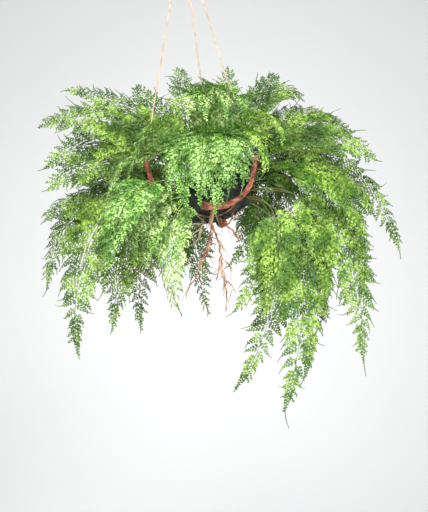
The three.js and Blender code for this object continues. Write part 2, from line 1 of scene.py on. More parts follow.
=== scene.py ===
# Looks of the hanging kokedama fern: fine fronds, moss, twisted vines, roots and cords, each built
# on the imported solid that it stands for. Lengths are in millimetres from the centre of the ball
# until a piece is built, and then in metres in the row frame.
import math
import random
from itertools import product

import bpy
import numpy as np
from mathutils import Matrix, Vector, noise


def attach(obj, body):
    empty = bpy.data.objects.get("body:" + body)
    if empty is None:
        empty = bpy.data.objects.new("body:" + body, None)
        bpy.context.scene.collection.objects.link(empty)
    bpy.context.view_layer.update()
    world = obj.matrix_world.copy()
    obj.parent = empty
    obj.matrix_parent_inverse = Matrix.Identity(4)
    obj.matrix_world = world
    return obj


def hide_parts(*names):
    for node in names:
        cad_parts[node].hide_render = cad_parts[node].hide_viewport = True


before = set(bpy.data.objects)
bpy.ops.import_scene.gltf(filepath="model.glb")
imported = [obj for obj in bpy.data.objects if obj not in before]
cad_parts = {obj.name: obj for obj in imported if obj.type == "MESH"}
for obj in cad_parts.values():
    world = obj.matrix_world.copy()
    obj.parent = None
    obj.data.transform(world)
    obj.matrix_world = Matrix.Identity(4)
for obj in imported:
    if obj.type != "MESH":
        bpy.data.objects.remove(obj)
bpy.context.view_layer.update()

MM = 0.001
SEED = 7
noise.seed_set(SEED)  # noise_vector takes its seed from the clock otherwise

# ---- The same places and sizes as the solids, in millimetres ----
KNOT_DROP = 34.0  # from the loop's inside top down to the knot
BALL_CENTRE = np.array([64.0, 0.0, -575.0])
BALL_SEMI_AXES = np.array([80.0, 72.0, 50.0])
BALL_TILT = math.radians(-15)
BALL_LUMP = 0.035  # height of the moss cushions, as a share of the radius
CORD_RADIUS = 1.25
CORD_SPREAD = 2.1  # of the cords at the knot
GAP = 0.3
VINE_RADIUS = 6.0
VINE_LOBE_DEPTH = 0.14
VINE_TWIST_PITCH = 70.0  # length of one turn of its strands
VINE_TAPER = 0.22
VINE_SEAT = 0.8  # of the vines over the moss
THIN_RADIUS = 1.7  # of the right vine's thin strand
HITCH_SHARE = 0.955  # of a vine's length, where its cord is wound
HITCH_RADIUS = 7.4
KNOT_RADIUS = 5.5
STEM_SEAT = 9.0  # depth of a stem or root in the ball
ROOT_CLEAR = 4.0
RIB_HALF_WIDTH = 1.5
RIB_HALF_THICKNESS = 0.6
RIB_TAPER = 0.5
PAIR_PITCH = 36.0  # of the solid's side branches
LEAST_PAIRS = 5
MOST_PAIRS = 7
PAIR_CROWDING = 1.3  # above 1, they stand closer towards the tip
TAIL_SHARE = 0.12  # of a blade, bare at its tip
FOOT_FULLNESS = 0.9  # the first side branch, as a share of the blade's half width
FOOT_GROWTH = 1.5
MIDDLE_FULLNESS = 1.05
TIP_FULLNESS = 0.55  # below 1, side branches near the tip stay long
BRANCH_LEAN = math.radians(60)
BRANCH_LEAN_LOSS = math.radians(14)  # towards a blade's tip
BRANCH_DROOP = 0.16

# Crowns of one to six fronds: [tip x, y, z, bend x, y, z, half width, roll in degrees, stem's share].
FRONT_CROWNS = [
    [[-92, -140, -30, -80, -110, 220, 70, 12, 0.28], [-58, -164, -48, -54, -142, 200, 76, 6, 0.28],
     [-24, -196, -34, -18, -156, 216, 72, 4, 0.28], [6, -178, -50, 6, -148, 206, 74, -2, 0.28],
     [34, -194, -14, 26, -154, 220, 70, -4, 0.28], [62, -160, 4, 52, -126, 210, 58, -6, 0.28]],
    [[-52, -104, 144, -36, -56, 290, 56, -6, 0.14], [-20, -118, 140, -12, -60, 300, 58, 0, 0.14],
     [26, -114, 146, 16, -56, 310, 58, 0, 0.14], [64, -106, 144, 44, -60, 290, 56, 6, 0.14],
     [4, -100, 180, 4, -60, 290, 54, 0, 0.14]],
    [[104, -150, 30, 90, -110, 210, 56, -8, 0.28]],
    [[140, -140, 90, 110, -90, 240, 56, -14, 0.26]],
    [[-95, -196, -132, -104, -206, 60, 60, 10, 0.24]],
    [[-174, -200, -78, -160, -170, 150, 64, -22, 0.26], [-136, -180, 0, -110, -150, 190, 58, -10, 0.26]],
    [[-72, -140, -240, -106, -150, -10, 78, 14, 0.28], [-130, -120, -150, -130, -120, 30, 60, -10, 0.3]],
    [[-150, -140, 80, -110, -90, 220, 58, -20, 0.26]],
]
SIDE_CROWNS = [
    # the left
    [[-299, -40, 215, -150, -20, 205, 54, -62, 0.3]],
    [[-353, -60, 137, -200, -40, 210, 74, -55, 0.28]],
    [[-332, -122, 53, -190, -80, 180, 68, -45, 0.28], [-236, -150, 10, -160, -110, 150, 58, -30, 0.26]],
    [[-340, -30, 12, -230, -20, 110, 64, -60, 0.3]],
    [[-352, -10, -48, -260, 10, 70, 68, -66, 0.3]],
    [[-340, -90, -199, -310, -70, 70, 76, -55, 0.34]],
    [[-266, -124, -324, -290, -120, 30, 78, -50, 0.4], [-210, -140, -200, -220, -120, 60, 62, -30, 0.38]],
    [[-236, -190, -152, -220, -170, 90, 66, -30, 0.3]],
    [[-201, -84, -279, -180, -90, 0, 70, -35, 0.36]],
    [[-156, 40, -285, -160, 40, -20, 64, -70, 0.36]],
    [[-12, 92, -252, -60, 110, -30, 54, 0, 0.36]],
    # the right
    [[40, -76, -240, 176, -72, -10, 62, 76, 0.42]],
    [[49, -30, -405, 220, -20, -50, 74, 76, 0.42]],
    [[137, -110, -439, 246, -100, -20, 84, 70, 0.42], [96, -130, -250, 170, -120, 10, 66, 60, 0.42]],
    [[185, 10, -383, 266, 0, 30, 78, 60, 0.4]],
    [[240, 110, -301, 270, 120, 50, 74, 50, 0.38]],
    [[289, -112, -342, 310, -100, 40, 82, 50, 0.4], [214, -130, -220, 240, -110, 50, 66, 40, 0.38]],
    [[316, 20, -234, 310, 20, 100, 76, 55, 0.34]],
    [[285, -152, -133, 250, -130, 140, 72, 35, 0.3], [200, -150, -60, 180, -120, 130, 62, 20, 0.3]],
    [[390, -30, -121, 300, -30, 130, 70, 60, 0.3]],
    [[349, 90, -45, 270, 70, 130, 70, 50, 0.28]],
    [[328, -60, 64, 220, -50, 180, 72, 50, 0.28], [250, -110, 70, 170, -80, 180, 60, 40, 0.26]],
    [[300, 60, 130, 190, 50, 214, 70, 60, 0.28]],
    [[270, -40, 160, 150, -20, 226, 66, 60, 0.28]],
    # the top
    [[193, 30, 205, 100, 20, 235, 60, 45, 0.26], [130, 20, 254, 94, 0, 180, 54, 24, 0.26]],
    [[36, 84, 282, 26, 50, 200, 54, 0, 0.26], [-30, 70, 250, -20, 40, 180, 54, 0, 0.24]],
    [[-84, 40, 278, -60, -30, 190, 58, 0, 0.26], [-172, -6, 238, -116, -30, 160, 56, -30, 0.26]],
    # the back
    [[112, 170, -250, 130, 190, 0, 64, 16, 0.36]],
    [[-250, 180, 150, -140, 110, 215, 66, -20, 0.28]],
    [[-300, 160, -60, -220, 120, 130, 68, -20, 0.28]],
    [[-200, 230, -210, -210, 220, 50, 70, -10, 0.36]],
    [[-90, 290, 80, -50, 170, 210, 66, 6, 0.28]],
    [[-60, 290, -150, -50, 250, 80, 66, 0, 0.34]],
    [[90, 300, -20, 80, 220, 160, 68, 0, 0.3]],
    [[150, 250, 130, 80, 150, 220, 64, 10, 0.28]],
    [[250, 200, -40, 190, 150, 150, 66, 20, 0.3]],
    [[170, 240, -210, 190, 230, 50, 68, 10, 0.36]],
]
INNER_TURN = math.radians(16)  # to either side by turns
INNER_REACH = 0.58  # of the long frond's, from the middle of the ball
INNER_TIP_HEIGHT = (0.4, 10)  # the share of the long frond's height, and what is added to it
INNER_BEND_HEIGHT = (0.7, 40)
INNER_HALF_WIDTH = 52
INNER_STEM_SHARE = 0.2
FURTHEST_FORWARD = -100
LEAST_ASIDE = 45
RIB_MATCH = 0.05  # the most that a frond's rib may be from its solid's
# Changes that may have bent a crown clear of the ones before it.
TURNS = [0, 6, -6, 12, -12, 18, -18]
LIFTS = [0, 22, -22, 44, -44]
ROLLS = [0, 20, -20, 40, -40]


# ---- Directions and curves ----
def unit(v):
    v = np.asarray(v, float)
    return v / np.linalg.norm(v, axis=-1, keepdims=True)


def turned(points, axis, angle):
    """Points turned about an axis through the origin, by the right-hand rule."""
    points = np.asarray(points, float)
    axis = unit(axis)
    along = (points @ axis)[..., None] * axis
    return points * math.cos(angle) + np.cross(axis, points) * math.sin(angle) + along * (1 - math.cos(angle))


def ball_radius(directions):
    """How far the ball's surface is from its centre: the solid's ellipsoid, and the waves of its lumps."""
    local = turned(unit(directions), [0, 1, 0], -BALL_TILT)
    azimuth = np.arctan2(local[..., 1], local[..., 0])
    height = local[..., 2]
    lumps = (
        np.sin(3 * azimuth + 1.1) * np.cos(4 * height)
        + 0.7 * np.sin(5 * azimuth - 0.6) * np.sin(5 * height + 0.8)
        + 0.5 * np.cos(8 * azimuth) * np.cos(9 * height)
    )
    return (1 + BALL_LUMP * lumps * (1 - height**2)) / np.linalg.norm(local / BALL_SEMI_AXES, axis=-1)


def on_ball(x, y, z, above):
    """The point in a direction from the ball's centre, and this far above its surface."""
    direction = unit([x, y, z])
    return direction * (ball_radius(direction) + above)


def smooth_path(points, per_span=24):
    """A centripetal Catmull-Rom curve through the points."""
    p = np.asarray(points, float)
    p = np.vstack([2 * p[0] - p[1], p, 2 * p[-1] - p[-2]])
    out = []
    for i in range(1, len(p) - 2):
        p0, p1, p2, p3 = p[i - 1 : i + 3]
        d0, d1, d2 = (math.sqrt(np.linalg.norm(b - a)) for a, b in ((p0, p1), (p1, p2), (p2, p3)))
        m1 = ((p1 - p0) / d0 - (p2 - p0) / (d0 + d1) + (p2 - p1) / d1) * d1
        m2 = ((p2 - p1) / d1 - (p3 - p1) / (d1 + d2) + (p3 - p2) / d2) * d1
        t = np.linspace(0, 1, per_span, endpoint=False)[:, None]
        out.append(p1 + m1 * t + (3 * (p2 - p1) - 2 * m1 - m2) * t**2 + (2 * (p1 - p2) + m1 + m2) * t**3)
    return np.vstack(out + [p[-2][None]])


def distances(path):
    """How far along the path each of its points is."""
    return np.concatenate([[0], np.cumsum(np.linalg.norm(np.diff(path, axis=0), axis=1))])


def points_at(path, marks):
    """The points at these distances along the path."""
    lengths = distances(path)
    return np.stack([np.interp(marks, lengths, path[:, k]) for k in range(3)], axis=-1)


def evenly(path, step):
    """The path again, with points a step apart."""
    length = distances(path)[-1]
    count = max(2, round(length / step) + 1)
    return points_at(path, np.linspace(0, length, count))


def length_of(path):
    return float(np.linalg.norm(np.diff(path, axis=0), axis=1).sum())


def carried(path):
    """The directions along a path and two across it, carried along it with no twist."""
    along = unit(np.gradient(path, axis=0))
    first = np.eye(3)[np.argmin(abs(along[0]))]
    normals = []
    for direction in along:
        first = unit(first - direction * (first @ direction))
        normals.append(first)
    normals = np.array(normals)
    return along, normals, np.cross(along, normals)


def drawn(draw, spreads):
    """A random number for each (mean, spread)."""
    return [draw.gauss(mean, spread) for mean, spread in spreads]


# ---- Shapes ----
def new_object(name, data):
    made = bpy.data.objects.new(name, data)
    bpy.context.scene.collection.objects.link(made)
    return made


def new_mesh(name, points, faces, materials):
    """A smooth mesh of these points and faces."""
    mesh = bpy.data.meshes.new(name)
    mesh.from_pydata(points, [], faces)
    for material in materials:
        mesh.materials.append(material)
    mesh.polygons.foreach_set("use_smooth", [True] * len(faces))
    return mesh


def copied(faces, points, count):
    """The faces of copies of something with this many points."""
    starts = points * np.arange(count)
    return (np.asarray(faces)[None] + starts[:, None, None]).reshape(-1, len(faces[0])).tolist()


class Shape:
    """The points and faces of one piece. A look is the number of a face's material."""

    def __init__(self):
        self.points = []
        self.faces = []
        self.looks = []
        self.count = 0

    def add(self, points, faces, look):
        points = np.asarray(points, float).reshape(-1, 3)
        start = self.count
        self.faces.extend([[i + start for i in face] for face in faces])
        self.looks.extend([look] * len(faces))
        self.points.append(points)
        self.count += len(points)

    def tube(self, path, radii, sides, look=0, lobes=0, depth=0.0, pitch=1.0):
        """A tube with closed ends. Its section has lobes, which turn once in each pitch."""
        _, normals, others = carried(path)
        radii = np.broadcast_to(np.asarray(radii, float), len(path))
        angles = np.arange(sides) * 2 * math.pi / sides
        turn = angles[None] - 2 * math.pi * distances(path)[:, None] / pitch
        reach = (radii[:, None] * (1 + depth * np.cos(lobes * turn)))[..., None]
        first = np.cos(angles)[None, :, None] * normals[:, None]
        second = np.sin(angles)[None, :, None] * others[:, None]
        rings = path[:, None] + reach * (first + second)
        faces = []
        for i in range(len(path) - 1):
            a, b = i * sides, (i + 1) * sides
            faces += [[a + j, a + (j + 1) % sides, b + (j + 1) % sides, b + j] for j in range(sides)]
        last = (len(path) - 1) * sides
        faces += [list(range(sides - 1, -1, -1)), list(range(last, last + sides))]
        self.add(rings, faces, look)

    def build(self, name, materials, nodes):
        """Makes the piece, in metres in the row frame. It rides on the row's one body."""
        points = (np.concatenate(self.points) + BALL_CENTRE) * MM
        mesh = new_mesh(name, points.tolist(), self.faces, materials)
        mesh.polygons.foreach_set("material_index", self.looks)
        mesh.update()
        piece = new_object(name, mesh)
        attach(piece, "root")
        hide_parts(*nodes)
        return piece


# ---- Materials ----
# Patterns: [features for each metre, levels of detail].
LEAF_PATCHES = [26, 2.0]
LEAF_FLECKS = [170, 2.0]
STALK_PATCHES = [34, 2.0]
PAPER_PATCHES = [1.2, 1.0]

WHITE = (1.0, 1.0, 1.0)
LEAF_STOPS = (0.40, 0.5, 0.60)
FLECK_COLOURS = [(0.42, (0.20, 0.27, 0.14)), (0.54, WHITE)]
FLECK_SHARE = 0.9
LEAF_ROUGHNESS = 0.48
LEAF_SPECULAR = 0.32
GLOW_SHARE = 0.5  # of the glow's colour in the light that comes through a leaf
THROUGH_SHARE = 0.12  # of the light that comes through
STALK_STOPS = (0.38, 0.62)
STALK_ROUGHNESS = 0.55
PAPER_STOPS = (0.3, 0.7)
PAPER_DIM = 0.985
PAPER_ROUGHNESS = 0.9
# Rough surfaces: [patches, grain, its colours, its share, roughness, strength and distance of the bumps].
MOSS_SURFACE = [[70, 4.0], [600, 3.0], [(0.3, (0.45, 0.45, 0.45)), (0.7, WHITE)], 0.8, 0.95, 0.9, 0.002]
BARK_SURFACE = [
    [90, 4.0], [900, 4.0], [(0.42, (0.55, 0.5, 0.5)), (0.6, WHITE), (0.78, (0.9, 0.62, 0.48))],
    0.7, 0.68, 0.7, 0.001]

# A leaf's colours: its dark, middle and light patches, and the light that comes through it. Each entry is a
# lit or shaded copy of one leaf green. The paler and brighter copies are painted light for fronds in front.
# The deeper ones are painted shade for fronds further back and inside the plant.
LIT_AND_SHADED_LEAF_COLOURS = {
    "pale": [(0.26, 0.50, 0.13), (0.58, 0.86, 0.28), (0.84, 1.0, 0.50), (0.7, 1.0, 0.25)],
    "lit_bright": [(0.20, 0.44, 0.04), (0.48, 0.82, 0.11), (0.74, 1.0, 0.26), (0.7, 1.0, 0.12)],
    "front": [(0.11, 0.30, 0.05), (0.30, 0.58, 0.12), (0.53, 0.84, 0.28), (0.5, 0.85, 0.15)],
    "mid": [(0.07, 0.20, 0.018), (0.20, 0.38, 0.038), (0.38, 0.60, 0.10), (0.35, 0.65, 0.06)],
    "green": [(0.05, 0.13, 0.010), (0.165, 0.31, 0.028), (0.37, 0.58, 0.09), (0.3, 0.55, 0.04)],
    "shaded_deep": [(0.04, 0.12, 0.01), (0.12, 0.25, 0.025), (0.23, 0.41, 0.06), (0.25, 0.45, 0.04)],
    "inner": [(0.03, 0.09, 0.008), (0.09, 0.20, 0.02), (0.19, 0.35, 0.05), (0.2, 0.4, 0.04)],
}


def new_material(name):
    material = bpy.data.materials.new(name)
    material.use_nodes = True
    tree = material.node_tree
    return material, tree, tree.nodes["Principled BSDF"]


def object_noise(tree, pattern):
    """Noise in the piece's own coordinates."""
    place = tree.nodes.new("ShaderNodeTexCoord")
    node = tree.nodes.new("ShaderNodeTexNoise")
    node.inputs["Scale"].default_value, node.inputs["Detail"].default_value = pattern
    tree.links.new(place.outputs["Object"], node.inputs["Vector"])
    return node.outputs["Fac"]


def ramp(tree, value, stops):
    """A colour ramp of (place, (r, g, b)) stops."""
    node = tree.nodes.new("ShaderNodeValToRGB")
    elements = node.color_ramp.elements
    while len(elements) < len(stops):
        elements.new(0.5)
    for element, (place, colour) in zip(elements, stops):
        element.position = place
        element.color = (*colour, 1)
    tree.links.new(value, node.inputs["Fac"])
    return node.outputs["Color"]


def mixed(tree, first, second, share, mode="MIX"):
    """Two colours mixed. The second is the output of a node, or its red, green and blue."""
    node = tree.nodes.new("ShaderNodeMix")
    node.data_type = "RGBA"
    node.blend_type = mode
    node.inputs["Factor"].default_value = share
    tree.links.new(first, node.inputs["A"])
    if isinstance(second, tuple):
        node.inputs["B"].default_value = (*second, 1)
    else:
        tree.links.new(second, node.inputs["B"])
    return node.outputs["Result"]


def leaf_material(name, dark, middle, light, glow):
    """Leaf green that varies from frond to frond and leaflet to leaflet, and lets some light through."""
    material, tree, shader = new_material(name)
    patches = object_noise(tree, LEAF_PATCHES)
    fine = object_noise(tree, LEAF_FLECKS)
    base = ramp(tree, patches, list(zip(LEAF_STOPS, (dark, middle, light))))
    flecks = ramp(tree, fine, FLECK_COLOURS)
    colour = mixed(tree, base, flecks, FLECK_SHARE, "MULTIPLY")
    tree.links.new(colour, shader.inputs["Base Color"])
    shader.inputs["Roughness"].default_value = LEAF_ROUGHNESS
    shader.inputs["Specular IOR Level"].default_value = LEAF_SPECULAR
    through = tree.nodes.new("ShaderNodeBsdfTranslucent")
    tree.links.new(mixed(tree, colour, glow, GLOW_SHARE), through.inputs["Color"])
    mix = tree.nodes.new("ShaderNodeMixShader")
    mix.inputs["Fac"].default_value = THROUGH_SHARE
    tree.links.new(shader.outputs[0], mix.inputs[1])
    tree.links.new(through.outputs[0], mix.inputs[2])
    tree.links.new(mix.outputs[0], tree.nodes["Material Output"].inputs["Surface"])
    return material


def patchy_material(name, patches, stops, colours, roughness):
    """A smooth surface in soft patches of two colours."""
    material, tree, shader = new_material(name)
    colour = ramp(tree, object_noise(tree, patches), list(zip(stops, colours)))
    tree.links.new(colour, shader.inputs["Base Color"])
    shader.inputs["Roughness"].default_value = roughness
    return material


def stalk_material(name, *colours):
    return patchy_material(name, STALK_PATCHES, STALK_STOPS, colours, STALK_ROUGHNESS)


def paper_material(name, colour):
    dimmed = tuple(PAPER_DIM * part for part in colour)
    return patchy_material(name, PAPER_PATCHES, PAPER_STOPS, (dimmed, colour), PAPER_ROUGHNESS)


def rough_material(name, surface, stops):
    """Moss or bark: soft patches, with a fine grain that shades them and stands out of them."""
    patches, fine, grain_colours, share, roughness, strength, distance = surface
    material, tree, shader = new_material(name)
    base = ramp(tree, object_noise(tree, patches), stops)
    height = object_noise(tree, fine)
    colour = mixed(tree, base, ramp(tree, height, grain_colours), share, "MULTIPLY")
    tree.links.new(colour, shader.inputs["Base Color"])
    shader.inputs["Roughness"].default_value = roughness
    bump = tree.nodes.new("ShaderNodeBump")
    bump.inputs["Strength"].default_value = strength
    bump.inputs["Distance"].default_value = distance
    tree.links.new(height, bump.inputs["Height"])
    tree.links.new(bump.outputs["Normal"], shader.inputs["Normal"])
    return material


# One material for each lit or shaded copy of the leaf green: painted light and painted shade.
LIT_AND_SHADED_LEAVES = {name: leaf_material(f"leaf_{name}", *colours) for name, colours in LIT_AND_SHADED_LEAF_COLOURS.items()}
STALK = stalk_material("frond_stalk", (0.11, 0.10, 0.03), (0.16, 0.25, 0.05))
FRONT_STALK = stalk_material("front_frond_stalk", (0.24, 0.40, 0.07), (0.46, 0.70, 0.16))
TAIL = stalk_material("frond_tail", (0.06, 0.13, 0.03), (0.15, 0.27, 0.07))
MOSS = rough_material("moss_ball", MOSS_SURFACE, [
    (0.36, (0.016, 0.020, 0.022)), (0.52, (0.045, 0.056, 0.052)), (0.68, (0.10, 0.125, 0.09))])
MOSS_TUFT = rough_material("moss_tufts", MOSS_SURFACE, [
    (0.34, (0.022, 0.032, 0.026)), (0.54, (0.07, 0.095, 0.06)), (0.72, (0.18, 0.23, 0.12))])
VINE_BARK = rough_material("vine_bark", BARK_SURFACE, [
    (0.34, (0.20, 0.06, 0.035)), (0.5, (0.50, 0.16, 0.09)), (0.66, (0.80, 0.36, 0.22))])
ROOT_BARK = rough_material("root_bark", BARK_SURFACE, [
    (0.34, (0.20, 0.07, 0.035)), (0.5, (0.40, 0.165, 0.085)), (0.66, (0.70, 0.38, 0.21))])
PALE_ROOT_BARK = rough_material("pale_root_bark", BARK_SURFACE, [
    (0.32, (0.45, 0.28, 0.16)), (0.5, (0.68, 0.50, 0.33)), (0.68, (0.85, 0.72, 0.55))])
JUTE = rough_material("jute", BARK_SURFACE, [
    (0.32, (0.55, 0.36, 0.20)), (0.5, (0.74, 0.53, 0.33)), (0.68, (0.86, 0.70, 0.50))])

# ---- The camera ----
CAMERA_PLACE = np.array([65.6, -2200.0, -696.0])
CAMERA_LENS = 75.5
camera_data = bpy.data.cameras.new("camera")
camera_data.lens = CAMERA_LENS
camera = new_object("camera", camera_data)
camera.location = CAMERA_PLACE * MM
camera.rotation_euler = (math.radians(90), 0, 0)
bpy.context.scene.camera = camera

# ---- Vines ----
# A vine's line: points on the moss, [x, y, z, how far over its seat there], and then free ones.
VINE_ROUTES = {
    "left": [
        [[-54, -38, -48, 0], [-70, -36, -40, 0], [-84, -36, -20, 4]],
        [[-114, -42, 8], [-130, -46, 50], [-143, -50, 98]]],
    "right": [
        [[-22, -72, -20, 0], [2, -70, -22, 0], [26, -66, -18, 0.2], [46, -52, -5, 0], [62, -42, 14, 4]],
        [[79, -48, 40], [83, -50, 60], [84, -50, 84]]],
    "back": [
        [[24, -30, -60, 0.8], [20, -4, -60, 0.6], [12, 28, -50, 0.4], [6, 58, -24, 0.4]],
        [[2, 90, 14], [0, 103, 50], [0, 111, 94]]],
}
THIN_ROUTE = [
    [44, -50, -6, 1], [36, -50, -24, 0], [16, -48, -38, 0], [-6, -44, -42, 0], [-30, -50, -38, 0],
    [-42, -52, -26, 0]]
VINE_OVER_MOSS = VINE_RADIUS * (1 + VINE_LOBE_DEPTH) + VINE_SEAT
THIN_OVER_MOSS = THIN_RADIUS + VINE_SEAT + GAP
VINE_STEP = 2.5
FOOT_SWELL = 0.35  # where a vine hugs the ball
STRANDS = 5
STRAND_AWAY = 0.56  # from the vine's line, in its radii
STRAND_RADIUS = 0.46  # in the vine's radii
STRAND_ENDS = (0.8, 0.6)  # of the radius, at its first and last points
STRAND_RIDGES = {"lobes": 3, "depth": 0.07, "pitch": 34}
THIN_RIDGES = {"lobes": 2, "depth": 0.12, "pitch": 16}
STRAND_LOOK, THIN_LOOK = range(2)
# Waves along a strand: [size, millimetres for each radian, shift from strand to strand].
AWAY_WAVE = [0.22, 17, 2.1]
RADIUS_WAVE = [0.07, 23, 1.3]
FADE_POINTS = 3  # over which a path's roughness grows


def roughened(path, amount, scale, salt):
    """The path with seeded noise, none at its first point."""
    out = np.array(path, float)
    for i, p in enumerate(path):
        fade = min(1.0, i / FADE_POINTS)
        shift = noise.noise_vector(Vector(p) * scale + Vector((salt, 0, 0)))
        out[i] += fade * amount * np.array(shift)
    return out


def vine_line(seated, free, over_moss):
    points = [on_ball(x, y, z, over_moss + over) for x, y, z, over in seated]
    return evenly(smooth_path(points + free), VINE_STEP)


def strand_wave(marks, strand, wave):
    size, length, shift = wave
    return size * np.sin(marks / length + shift * strand)


def vine(name):
    """Bark strands, twisted round each other along the vine's line. The line is given back."""
    spine = vine_line(*VINE_ROUTES[name], VINE_OVER_MOSS)
    _, normals, others = carried(spine)
    share = np.linspace(0, 1, len(spine))
    radius = VINE_RADIUS * (1 - VINE_TAPER * share) * (1 + FOOT_SWELL * np.clip(1 - 2 * share, 0, 1))
    marks = share * length_of(spine)
    shape = Shape()
    for strand in range(STRANDS):
        angle = 2 * math.pi * (strand / STRANDS + marks / VINE_TWIST_PITCH)
        away = (STRAND_AWAY * radius * (1 + strand_wave(marks, strand, AWAY_WAVE)))[:, None]
        path = spine + away * (np.cos(angle)[:, None] * normals + np.sin(angle)[:, None] * others)
        thick = radius * (STRAND_RADIUS + strand_wave(marks, strand, RADIUS_WAVE))
        thick[[0, -1]] *= STRAND_ENDS
        shape.tube(path, thick, sides=12, look=STRAND_LOOK, **STRAND_RIDGES)
    if name == "right":
        thin = vine_line(THIN_ROUTE, [], THIN_OVER_MOSS)
        shape.tube(thin, THIN_RADIUS, sides=8, look=THIN_LOOK, **THIN_RIDGES)
    shape.build(f"vine_{name}_bark", [VINE_BARK, ROOT_BARK], [f"vine_{name}"])
    return spine


# ---- Cords, hitches, the knot and its loop ----
CORD_PLIES = {"lobes": 3, "depth": 0.16, "pitch": 9.0}
PLY_RADIUS = 0.93  # in the cord's radii
CORD_STEP = 1.5
COIL_TURNS = 4
COIL_STEPS = 24  # for each turn
COIL_PITCH = 2.05  # in the cord's radii
# The strand that crosses a winding: [out from the horn, along it].
CROSSING = [(6.6, -4.4), (7.6, 0.0), (6.4, 4.6)]
CROSSING_SPAN = 12
NUDGE = 1e-3  # keeps a direction that is worked out from being zero
AXIS_POINTS = (-5, -2)  # of a vine's line, for its direction at the horn
KNOT_CENTRE = np.array([0, 0, -KNOT_DROP]) - BALL_CENTRE
KNOT_CORE = [(-KNOT_RADIUS, 3.0), (0, 3.4), (KNOT_RADIUS + 1, 2.6)]  # height and radius
# One side of the loop: [out from its middle, share of the knot's drop].
LOOP_SIDE = [(0, 0), (5, 0.25), (8, 0.55), (6, 0.86)]


def jute_tube(shape, path):
    shape.tube(path, CORD_RADIUS * PLY_RADIUS, sides=12, **CORD_PLIES)


def coil(centre, axis, reach):
    """The line of a cord wound tight round an axis, from one end to the other."""
    axis = unit(axis)
    side = unit(np.cross(axis, [0.3, 1, 0.1]))
    other = np.cross(axis, side)
    t = np.linspace(0, COIL_TURNS, COIL_TURNS * COIL_STEPS + 1)[:, None]
    rise = (t - COIL_TURNS / 2) * COIL_PITCH * CORD_RADIUS
    angle = 2 * math.pi * t
    return centre + axis * rise + reach * (np.cos(angle) * side + np.sin(angle) * other)


def hitch(name, spine):
    """The winding of a cord round its horn, and the place of its middle."""
    place = points_at(spine, HITCH_SHARE * distances(spine)[-1])
    first, last = AXIS_POINTS
    axis = unit(spine[last] - spine[first])
    shape = Shape()
    jute_tube(shape, coil(place, axis, HITCH_RADIUS - CORD_RADIUS))
    across = unit(np.cross(axis, [0, 0, 1.0]) + NUDGE)
    crossing = [place + across * out + axis * rise for out, rise in CROSSING]
    jute_tube(shape, smooth_path(crossing, CROSSING_SPAN))
    piece = shape.build(f"hitch_{name}_winding", [JUTE], [f"hitch_{name}"])
    return piece, place


def cord_line(place):
    """A cord's straight line, from the side of its hitch to the underside of the knot."""
    to_knot = KNOT_CENTRE - place
    aside = unit([-to_knot[0], -to_knot[1], 0])
    top = KNOT_CENTRE + aside * CORD_SPREAD - np.array([0, 0, KNOT_RADIUS])
    foot = place - aside * (HITCH_RADIUS + CORD_RADIUS + GAP)
    return evenly(np.array([foot, top]), CORD_STEP)


def gathering_knot():
    """The loop, the winding that gathers the cords, and a core inside it."""
    loop = [(x, 0, share * KNOT_DROP) for x, share in LOOP_SIDE]
    loop += [(0, 0, KNOT_DROP + CORD_RADIUS)]
    loop += [(-x, 0, share * KNOT_DROP) for x, share in reversed(LOOP_SIDE)]
    shape = Shape()
    jute_tube(shape, evenly(smooth_path(np.array(loop) + KNOT_CENTRE), CORD_STEP))
    jute_tube(shape, coil(KNOT_CENTRE, [0, 0, 1], KNOT_RADIUS - CORD_RADIUS))
    heights, radii = zip(*KNOT_CORE)
    core = KNOT_CENTRE + np.array([[0, 0, z] for z in heights])
    shape.tube(core, radii, sides=10)
    return shape.build("gathering_knot_loop", [JUTE], ["gathering_knot"])


hitches = {}
places = {}
for name in VINE_ROUTES:
    hitches[name], places[name] = hitch(name, vine(name))
knot = gathering_knot()
for name in VINE_ROUTES:
    line = cord_line(places[name])
    cord_shape = Shape()
    jute_tube(cord_shape, line)
    cord = cord_shape.build(f"cord_{name}_jute", [JUTE], [f"cord_{name}"])

# ---- The moss ball ----
BALL_FINENESS = 6
CUSHION_HEIGHT = 1.9
CUSHION_SIZE = 13
CUSHION_NOISE = (1.0, 2.0, 3)  # roughness, step between octaves, number of octaves
BUMP_HEIGHT = 0.7
BUMP_SIZE = 3.1
TUFTS = 9000
TUFT_SIZES = (2.2, 4.6)
TUFT_WIDTH = 0.42
TUFT_SEAT = 0.5
TUFT_LEAN = 0.385
ANY_WAY = [(0, 1)] * 3
TUFT_POINTS = np.array([[0, 0, 0], [-0.5, 0.0, 0.4], [0, 0.12, 1.0], [0.5, 0.0, 0.4]])
TUFT_FACES = [[0, 3, 2, 1]]
SKIN_LOOK, TUFT_LOOK = range(2)


def ball_directions():
    """The points of a fine ball of triangles, as directions, and its faces."""
    bpy.ops.mesh.primitive_ico_sphere_add(subdivisions=BALL_FINENESS, radius=1)
    ball = bpy.context.object
    points = np.array([v.co for v in ball.data.vertices])
    faces = [list(p.vertices) for p in ball.data.polygons]
    bpy.data.objects.remove(ball)
    return unit(points), faces


def moss_height(point):
    """Height of the moss cushions over the solid's surface."""
    p = Vector(point)
    cushion = CUSHION_HEIGHT * noise.fractal(p / CUSHION_SIZE, *CUSHION_NOISE)
    return cushion + BUMP_HEIGHT * noise.noise(p / BUMP_SIZE)


